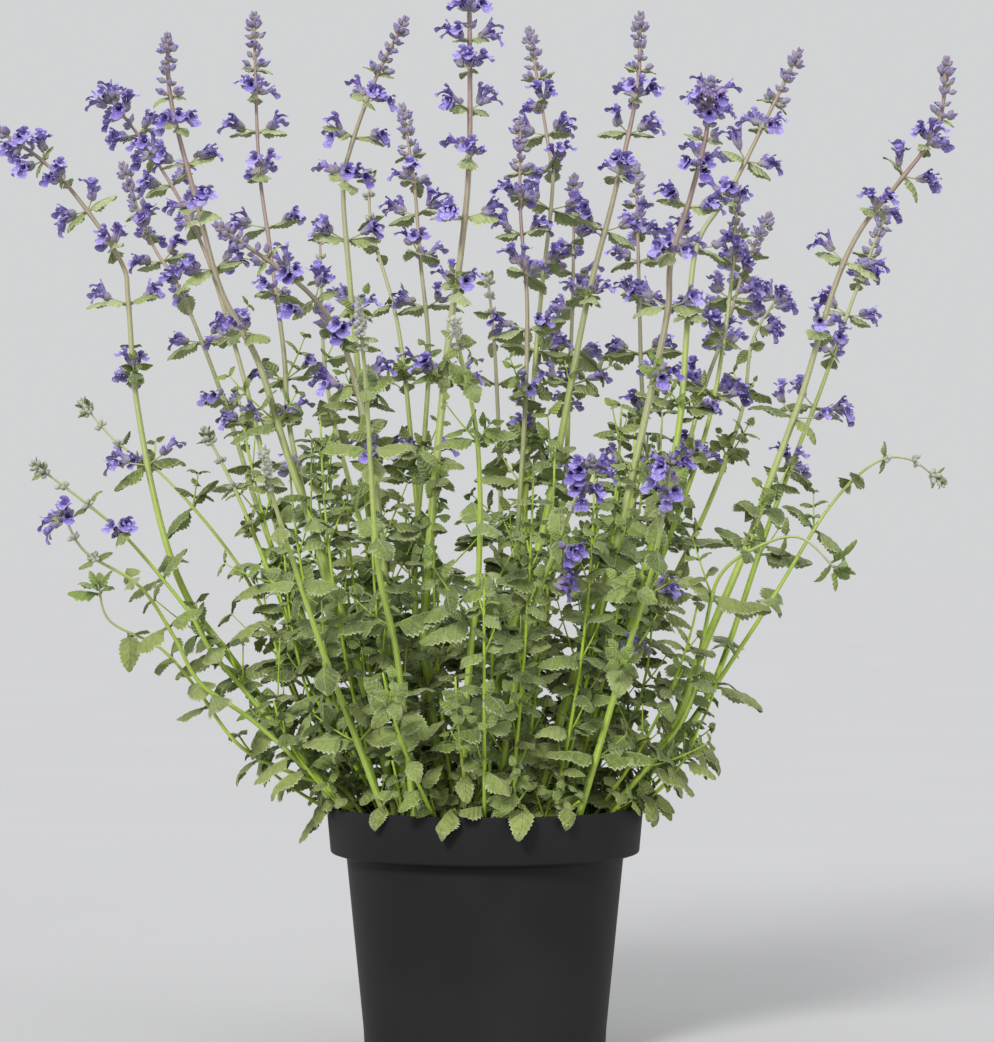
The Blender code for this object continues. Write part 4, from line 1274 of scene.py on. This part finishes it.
def add_woolly_head(piece, materials, shapes, line, draw, down):
    """A pale downy head of closed buds, with a pair of small woolly leaves at its foot."""
    length = (len(line) - 1) * STEP
    end, before = at_run(line, [length, length - 0.006])
    up = unit(end - before)
    level = unit(np.cross(up, np.array([0.2, 1.0, 0.1])))
    for number in range(WOOLLY_BUDS):
        share = number / WOOLLY_BUDS
        place = end - up * WOOLLY_REACH * (1 - share)
        out = turned_round(level, up, number * 2.4)
        rise = 0.6 + 0.8 * share
        way = out * math.cos(rise) + up * math.sin(rise)
        add_shape(piece, materials[down], shapes["closed"], place, frame_of(way, up + out * 0.01),
                  0.9 - 0.35 * share, draw.random())
    for side in (1, -1):
        leaf = leaf_on(end - up * WOOLLY_REACH * 1.1, side * level + up * 0.3, up, 0.010, 0.4)
        add_blade(piece, materials["bract"], leaf, 4, 1, draw.random(), draw)


def add_axils(piece, materials, node, draw, bushy):
    """Small shoots in the axils of a leafy node."""
    if node.number < YOUNGEST_AXIL:
        return
    age = min(1.0, node.number / OLD_AXIL)
    reach = np.interp(node.at[2], AXIL_HEIGHTS, AXIL_REACHES) * age
    size = np.interp(node.at[2], AXIL_HEIGHTS, AXIL_LEAVES) * age
    for side in (1, -1):
        if draw.random() > bushy:
            continue
        way = turned_out(node, draw.uniform(-0.6, 0.6), draw.uniform(0.4, 1.1), side)
        pairs = draw.choice((2, 3, 3, 4)) if reach > 0.015 else 2
        add_side_shoot(piece, materials, node.at, way, reach * draw.uniform(0.5, 1.4), pairs,
                       size * draw.uniform(0.8, 1.25), draw, draw.uniform(0.2, 0.8))


def pair_length(node):
    """How long the leaves of a node are: the lower the longer, and short on the youngest nodes."""
    grown = np.interp(node.at[2], PAIR_HEIGHTS, PAIR_LENGTHS)
    return min(grown, YOUNGEST_PAIR + PAIR_GROWTH * node.number)


def pair_of_leaves(node, leaves, draw):
    """A node's two leaves. Those that the solids have keep their place and way."""
    yield from leaves
    for side in (1, -1):
        way = turned_out(node, draw.uniform(-0.25, 0.25), draw.uniform(0.05, 0.5), side)
        if any(np.dot(leaf.along, way) > 0.3 for leaf in leaves):
            continue
        length = pair_length(node) * draw.uniform(0.88, 1.12)
        yield leaf_on(node.at, way, node.up, length, draw.uniform(0.15, 0.5))


def add_pair(piece, materials, node, leaves, draw):
    for leaf in pair_of_leaves(node, leaves, draw):
        is_high = node.at[2] > BRACTS_FROM
        teeth = int(np.clip(leaf.length / TOOTH_GAP, 5, 9))
        add_blade(piece, materials["bract" if is_high else "leaf"], leaf, teeth, 2, draw.random(), draw)


def add_growth(piece, materials, shapes, shoot, line, rows, draw):
    """Everything that grows on a shoot's nodes in this piece."""
    for node, leaves, _ in rows:
        place = at_run(line, [node.run])[0]
        node = node._replace(at=place)
        if node.blooms == "buds" and node.number >= FLOWERS_FROM.get(shoot.name, SPIKE_NODES):
            node = node._replace(blooms="flowers")
        leaves = [leaf._replace(at=place) for leaf in leaves]
        if shoot.name in BIG_HEADS and node.number < 2:
            add_head(piece, materials, shapes, node, draw)
        elif node.blooms != "nothing" and shoot.bears == "spike":
            add_whorl(piece, materials, shapes, node, draw)
        elif node.number in LOW_BLOOMS.get(shoot.name, ()):
            sides = (1, -1) if node.number < LOW_BLOOMS_PAIRED else (1,)
            add_whorl(piece, materials, shapes, node._replace(blooms="flowers"), draw, sides)
        elif shoot.bears == "buds" and node.number < 3:
            add_pale_buds(piece, materials, shapes, node, draw)
        if node.number > 1:
            add_pair(piece, materials, node, leaves, draw)
        if place[2] < AXIL_HEIGHTS[-1] and (node.blooms == "nothing" or node.number >= SPIKE_NODES):
            away = math.hypot(place[0], place[1])
            bushy = np.interp(away, (0.09, 0.17), (0.95, 0.3)) * (0.35 if shoot.name in SPARSE else 1)
            add_axils(piece, materials, node, draw, bushy)


def add_head(piece, materials, shapes, node, draw):
    """A dense round head of flowers, where a few whorls have run together."""
    for turn, side in itertools.product((0, math.pi / 2), (1, -1)):
        way = turned_out(node, turn + draw.uniform(-0.2, 0.2), 0.35, side)
        add_cyme(piece, materials, shapes, node, way, 0.005, 2, 6, 1.05, draw, "rosy_calyx")


def add_pale_buds(piece, materials, shapes, node, draw):
    """Closed, pale green buds on both sides of a young tip's node."""
    for side in (1, -1):
        way = turned_out(node, draw.uniform(-0.2, 0.2), 0.5, side)
        add_cyme(piece, materials, shapes, node, way, 0.0015, 0, 3 + node.number, 0.75, draw, "pale")


def make_shoot(shoot, line, rows, materials, shapes):
    """The pieces of a shoot: its stem with leaves, and its flowering top where it has one."""
    draw = random.Random(f"looks {shoot.name}")
    length = (len(line) - 1) * STEP
    _, top = straight_runs(shoot, line)
    tint = draw.random()
    nodes = np.array([node.run for node, _, _ in rows])
    parts = [(f"shoot_{shoot.name}", f"stem_{shoot.name}", "leaf_green", 0.0, top or length)]
    if top:
        parts.append((f"flowers_{shoot.name}", f"spike_{shoot.name}", "flower_violet", top, length))
    for name, node_name, slot, low, high in parts:
        piece = Piece()
        runs = np.linspace(low, high, max(4, round((high - low) / STEP)))
        radii = np.array([stem_radius(run / length) for run in runs]) * THICKNESS.get(shoot.name, THIN)
        swell = np.exp(-((runs[:, None] - nodes[None]) / 0.0022) ** 2).max(axis=1)
        radii = radii * (1 + 0.22 * swell)
        heights = at_run(line, runs)[:, 2]
        old = np.maximum((heights - 0.15) / 0.42, WEATHERED * (runs / length) ** 2)
        shares = np.clip(old + (tint - 0.5) * 0.3, 0, 1)
        add_stem(piece, materials, line, runs, radii, shares, tint)
        add_down(piece, materials, line, runs, radii, np.random.default_rng(SEED + int(shoot.name)))
        mine = [row for row in rows if low <= row[0].run <= high + 1e-9]
        add_growth(piece, materials, shapes, shoot, line, mine, draw)
        if shoot.name in HANGING:
            add_hanging_leaf(piece, materials, line, HANGING[shoot.name], draw)
        if shoot.bears != "spike":
            add_tip(piece, materials, shapes, shoot, line, draw)
        elif high == length:
            add_crown(piece, materials, shapes, line, draw)
            add_young_whorls(piece, materials, shapes, line, mine, draw)
        made = piece.build(name)
        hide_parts(node_name)


def add_hanging_leaf(piece, materials, line, across, draw):
    """A leaf that hangs straight down from a trailing stem, flat to the front."""
    at = line[np.abs(line[:, 0] - across).argmin()]
    leaf = leaf_on(at, np.array([0.12, -0.15, -1.0]), np.array([0, -1.0, 0]), HANGING_LENGTH, 0.15)
    add_blade(piece, materials["leaf"], leaf, 8, 2, 0.8, draw)


def lathe(profile, sides):
    """Rings of points round the pot's axis, one for each (radius, height)."""
    angles = np.arange(sides) * 2 * math.pi / sides
    return np.vstack([np.column_stack([r * np.cos(angles), r * np.sin(angles), np.full(sides, z)])
                      for r, z in profile])


def rounded(profile, radii, steps=3):
    """The profile with its inner corners rounded, each by its own radius."""
    points = [np.array(profile[0])]
    for before, corner, after, radius in zip(profile, profile[1:], profile[2:], radii):
        before, corner, after = (np.array(p) for p in (before, corner, after))
        first = corner + unit(before - corner) * radius
        last = corner + unit(after - corner) * radius
        for share in np.linspace(0, 1, steps + 1):
            points.append((1 - share) ** 2 * first + 2 * share * (1 - share) * corner + share**2 * last)
    points.append(np.array(profile[-1]))
    return points


def make_pot(materials):
    """The pot: one shell with a rounded lip, a stepped-out rim, a heel and a base with drain holes."""
    foot = POT_HEIGHT - RIM_DEPTH
    outside = [(BASE_RADIUS, 0.0), (HEEL_RADIUS, HEEL_HEIGHT * 0.2), (HEEL_RADIUS + 0.0006, HEEL_HEIGHT),
               (SHOULDER_RADIUS, foot - SHOULDER_DROP), (RIM_FOOT_RADIUS, foot), (RIM_RADIUS, POT_HEIGHT)]
    middle = 0.001
    corners = [(middle, 0.0), *outside, *inside_profile(), (middle, WALL)]
    radii = [0.0015, 0.002, 0.001, 0.0012, 0.0012, 0.0009, 0.0009, 0.0012, 0.0012, 0.001, 0.0008]
    profile = rounded(corners, radii)
    piece = Piece()
    points = lathe(profile, POT_SIDES)
    piece.add(points, [blocks(len(profile), POT_SIDES, True), *ends(len(profile), POT_SIDES)],
              materials["pot"], (0, 0, 0))
    made = piece.build("pot_shell")
    drill_drains(made)
    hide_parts("pot")


def drill_drains(pot):
    """Cuts the drain holes through the pot's base."""
    cutters = []
    for hole in range(DRAIN_HOLES):
        angle = 2 * math.pi * hole / DRAIN_HOLES
        bpy.ops.mesh.primitive_cylinder_add(
            vertices=DRAIN_SIDES, radius=DRAIN_RADIUS, depth=4 * WALL,
            location=(DRAIN_CIRCLE * math.cos(angle), DRAIN_CIRCLE * math.sin(angle), WALL / 2))
        cutters.append(bpy.context.object)
        cut = pot.modifiers.new(f"drain_{hole}", "BOOLEAN")
        cut.operation = "DIFFERENCE"
        cut.object = cutters[-1]
    bpy.context.view_layer.update()
    drilled = bpy.data.meshes.new_from_object(pot.evaluated_get(bpy.context.evaluated_depsgraph_get()))
    pot.modifiers.clear()
    pot.data = drilled
    drilled.set_sharp_from_angle(angle=math.radians(50))
    for cutter in cutters:
        bpy.data.objects.remove(cutter)


def make_soil(materials):
    """The soil: crumbs and hollows on top, and sides that follow the pot's wall."""
    draw = np.random.default_rng(SEED)
    rings, sides = 46, 128
    radius = np.linspace(0.0005, inner_radius(SOIL_TOP - 0.002) - CLEARANCE, rings)
    angles = np.arange(sides) * 2 * math.pi / sides
    r, a = np.meshgrid(radius, angles, indexing="ij")
    x, y = r * np.cos(a), r * np.sin(a)
    height = np.zeros_like(x)
    for _ in range(260):
        cx, cy = draw.uniform(-0.09, 0.09, 2)
        size = draw.uniform(0.002, 0.007)
        height += draw.uniform(0.2, 0.5) * size * np.exp(-((x - cx) ** 2 + (y - cy) ** 2) / size**2)
    height = np.minimum(height, 0.005) * np.minimum(1, (radius[-1] - r) / 0.004)
    top = np.column_stack([x.ravel(), y.ravel(), (SOIL_TOP - 0.002 + height).ravel()])
    wall = [(radius - CLEARANCE, z) for radius, z in inside_profile() if z < SOIL_TOP - 0.002]
    points = np.vstack([top, lathe(wall, sides)])
    rows = rings + len(wall)
    piece = Piece()
    piece.add(points, [blocks(rows, sides, True), *ends(rows, sides)], materials["soil"], (0, 0, 0))
    made = piece.build("soil_fill")
    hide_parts("soil")


def add_leafy_shoot(piece, materials, root, tip, bulge, gap, largest, droop, draw):
    """A thin leafy shoot from root to tip that bulges outwards, with a pair of leaves at every gap."""
    shares = np.linspace(0, 1, 12)[:, None]
    line = root + (tip - root) * shares + bulge * (shares * (1 - shares) * 4)
    length = float(np.linalg.norm(np.diff(line, axis=0), axis=1).sum())
    count = max(2, int(length / gap))
    radii = np.linspace(INNER_STEM, INNER_STEM * 0.5, 12)
    points = tube(line, radii, np.ones(6))
    high = np.repeat(np.clip((line[:, 2] - 0.13) / 0.5, 0, 1), 6)
    detail = np.column_stack([high, np.zeros(len(high)), np.full(len(high), draw.random())])
    piece.add(points, [blocks(12, 6, True), *ends(12, 6)], materials["stem"], detail)
    turn = draw.uniform(0, math.pi)
    for number in range(1, count + 1):
        share = number / count
        at = np.array([np.interp(share, shares[:, 0], line[:, k]) for k in range(3)])
        up = unit(tip - root + bulge * 4 * (1 - 2 * share))
        level = unit(np.cross(up, np.array([0.3, 1.0, 0.2])))
        size = largest * np.interp(share, (0, 0.5, 1), (0.8, 1, 0.5)) * draw.uniform(0.8, 1.1)
        for side in (0, math.pi):
            out = turned_round(level, up, turn + side + number * math.pi / 2)
            rise = draw.uniform(0.1, 0.7)
            along = out * math.cos(rise) + up * math.sin(rise)
            leaf = leaf_on(at, along, up, size, draw.uniform(*droop))
            add_blade(piece, materials["leaf"], leaf, 8 if size > LARGE_LEAF else 6, 2, draw.random(), draw)
            if draw.random() < 0.4 and number < count:
                way = out * 0.5 + up * 0.8
                add_side_shoot(piece, materials, at, way, draw.uniform(0.008, 0.022), 2, largest * 0.55, draw,
                               draw.uniform(0.3, 0.8))


def make_inner_growth(materials):
    """Leafy shoots between the long ones, in two pieces: the front half's and the back half's."""
    draw = random.Random("inner growth")
    halves = {"inner_growth_front": Piece(), "inner_growth_back": Piece()}
    for number in range(INNER_SHOOTS):
        angle = number * GOLDEN_TURN
        radius = ROOT_CIRCLE * 0.95 * math.sqrt((number + 0.5) / INNER_SHOOTS)
        way = np.array([math.cos(angle), math.sin(angle), 0])
        root = way * radius + np.array([0, 0, SOIL_TOP - 0.004])
        reach = radius * draw.uniform(0.6, 1.5) + 0.01
        tip = way * (radius + reach) + np.array([0, 0, SOIL_TOP + draw.uniform(*INNER_HEIGHT)])
        piece = halves["inner_growth_front" if way[1] < 0 else "inner_growth_back"]
        add_leafy_shoot(piece, materials, root, tip, way * 0.012, draw.uniform(0.020, 0.028),
                        draw.uniform(0.020, 0.029), INNER_DROOP, draw)
    for bearing, reach, height in SIDE_SHOOTS:
        turn = math.radians(bearing - 90)
        way = np.array([math.cos(turn), math.sin(turn), 0])
        root = way * ROOT_CIRCLE * 0.9 + np.array([0, 0, SOIL_TOP - 0.004])
        tip = way * reach + np.array([0, 0, height])
        piece = halves["inner_growth_front" if way[1] < 0 else "inner_growth_back"]
        add_leafy_shoot(piece, materials, root, tip, way * 0.012, 0.024, 0.029, INNER_DROOP, draw)
    for name, piece in halves.items():
        piece.build(name)


def add_rim_leaf(piece, materials, bearing, length, draw):
    """A leaf on a little stem that leans on the rim, hanging down outside it."""
    turn = math.radians(bearing - 90)
    way = np.array([math.cos(turn), math.sin(turn), 0])
    up = np.array([0, 0, 1.0])
    at = way * (RIM_RADIUS - 0.004) + up * (POT_HEIGHT + 0.0045)
    shares = np.linspace(0, 1, 6)[:, None]
    root = way * (RIM_RADIUS - 0.02) + up * (SOIL_TOP - 0.004)
    line = root + (at - root) * shares + up * 0.005 * shares * (1 - shares)
    points = tube(line, np.full(6, SIDE_STEM), np.ones(5))
    detail = np.column_stack([np.full(30, 0.1), np.zeros(30), np.full(30, draw.random())])
    piece.add(points, [blocks(6, 5, True), *ends(6, 5)], materials["stem"], detail)
    aside = np.cross(up, way) * draw.uniform(-0.4, 0.4)
    leaf = leaf_on(at, way + aside + up * 0.1, up, length * MM, RIM_LEAF_DROOP)
    add_blade(piece, materials["leaf"], leaf, 8, 2, draw.random(), draw)


def make_rim_growth(materials):
    """A ring of short shoots near the pot's wall, whose leaves hang over the rim."""
    draw = random.Random("rim growth")
    piece = Piece()
    for number in range(RIM_SHOOTS):
        angle = (number + draw.uniform(-0.3, 0.3)) * 2 * math.pi / RIM_SHOOTS
        way = np.array([math.cos(angle), math.sin(angle), 0])
        radius = draw.uniform(0.068, 0.08)
        root = way * radius + np.array([0, 0, SOIL_TOP - 0.004])
        tip = way * (radius + draw.uniform(0.012, 0.03)) + np.array([0, 0, SOIL_TOP + draw.uniform(*RIM_HEIGHT)])
        add_leafy_shoot(piece, materials, root, tip, np.array([0, 0, 0.004]), draw.uniform(0.009, 0.013),
                        draw.uniform(0.020, 0.028), RIM_DROOP, draw)
    for bearing, length in RIM_LEAVES:
        add_rim_leaf(piece, materials, bearing, length, draw)
    piece.build("rim_growth")


def make_stage():
    """A pale floor, soft lights from the front, the sides and behind, and the camera."""
    bpy.ops.mesh.primitive_plane_add(size=FLOOR_SIZE)
    floor = bpy.context.object
    floor.name = "floor"
    paint = Paint("floor_paint")
    colour = paint.blend(paint.noise(3), tone(FLOOR_LIGHT), tone(FLOOR_SHADE))
    floor.data.materials.append(paint.finish(colour, 0.9, paint.noise(40), 0.0002, gloss=0.0))
    for name, place, spread, power in LIGHTS:
        data = bpy.data.lights.new(name, "SUN")
        data.angle = math.radians(spread)
        data.energy = power
        lamp = bpy.data.objects.new(name, data)
        bpy.context.scene.collection.objects.link(lamp)
        lamp.location = place
        lamp.rotation_euler = (Vector(LIT_POINT) - Vector(place)).to_track_quat("-Z", "Y").to_euler()
    world = bpy.data.worlds.new("studio")
    world.use_nodes = True
    world.node_tree.nodes["Background"].inputs["Color"].default_value = tone(WORLD_COLOUR)
    world.node_tree.nodes["Background"].inputs["Strength"].default_value = WORLD_STRENGTH
    bpy.context.scene.world = world
    camera_data = bpy.data.cameras.new("camera")
    camera_data.sensor_width = SENSOR
    camera_data.lens = SENSOR * EYE_DISTANCE / (IMAGE_HEIGHT * PIXEL_SIZE)
    camera = bpy.data.objects.new("camera", camera_data)
    bpy.context.scene.collection.objects.link(camera)
    camera.location = (EYE_ACROSS, -EYE_DISTANCE, EYE_HEIGHT)
    camera.rotation_euler = (math.radians(90), 0, 0)
    bpy.context.scene.camera = camera
    bpy.context.scene.view_settings.view_transform = "Standard"


def main():
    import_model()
    materials = make_materials()
    shapes = {"calyx": calyx_shape(), "closed": closed_shape(), "corolla": corolla_shape(), "bud": bud_shape()}
    grown = shoots()
    lines = [centre_line(shoot) for shoot in grown]
    bend_clear(lines)
    flat = [faceted(shoot, line) for shoot, line in zip(grown, lines)]
    plan = grow_plan(grown, flat)
    make_pot(materials)
    make_soil(materials)
    make_inner_growth(materials)
    make_rim_growth(materials)
    for shoot, line, rows in zip(grown, lines, plan):
        make_shoot(shoot, line, rows, materials, shapes)
    make_stage()


main()
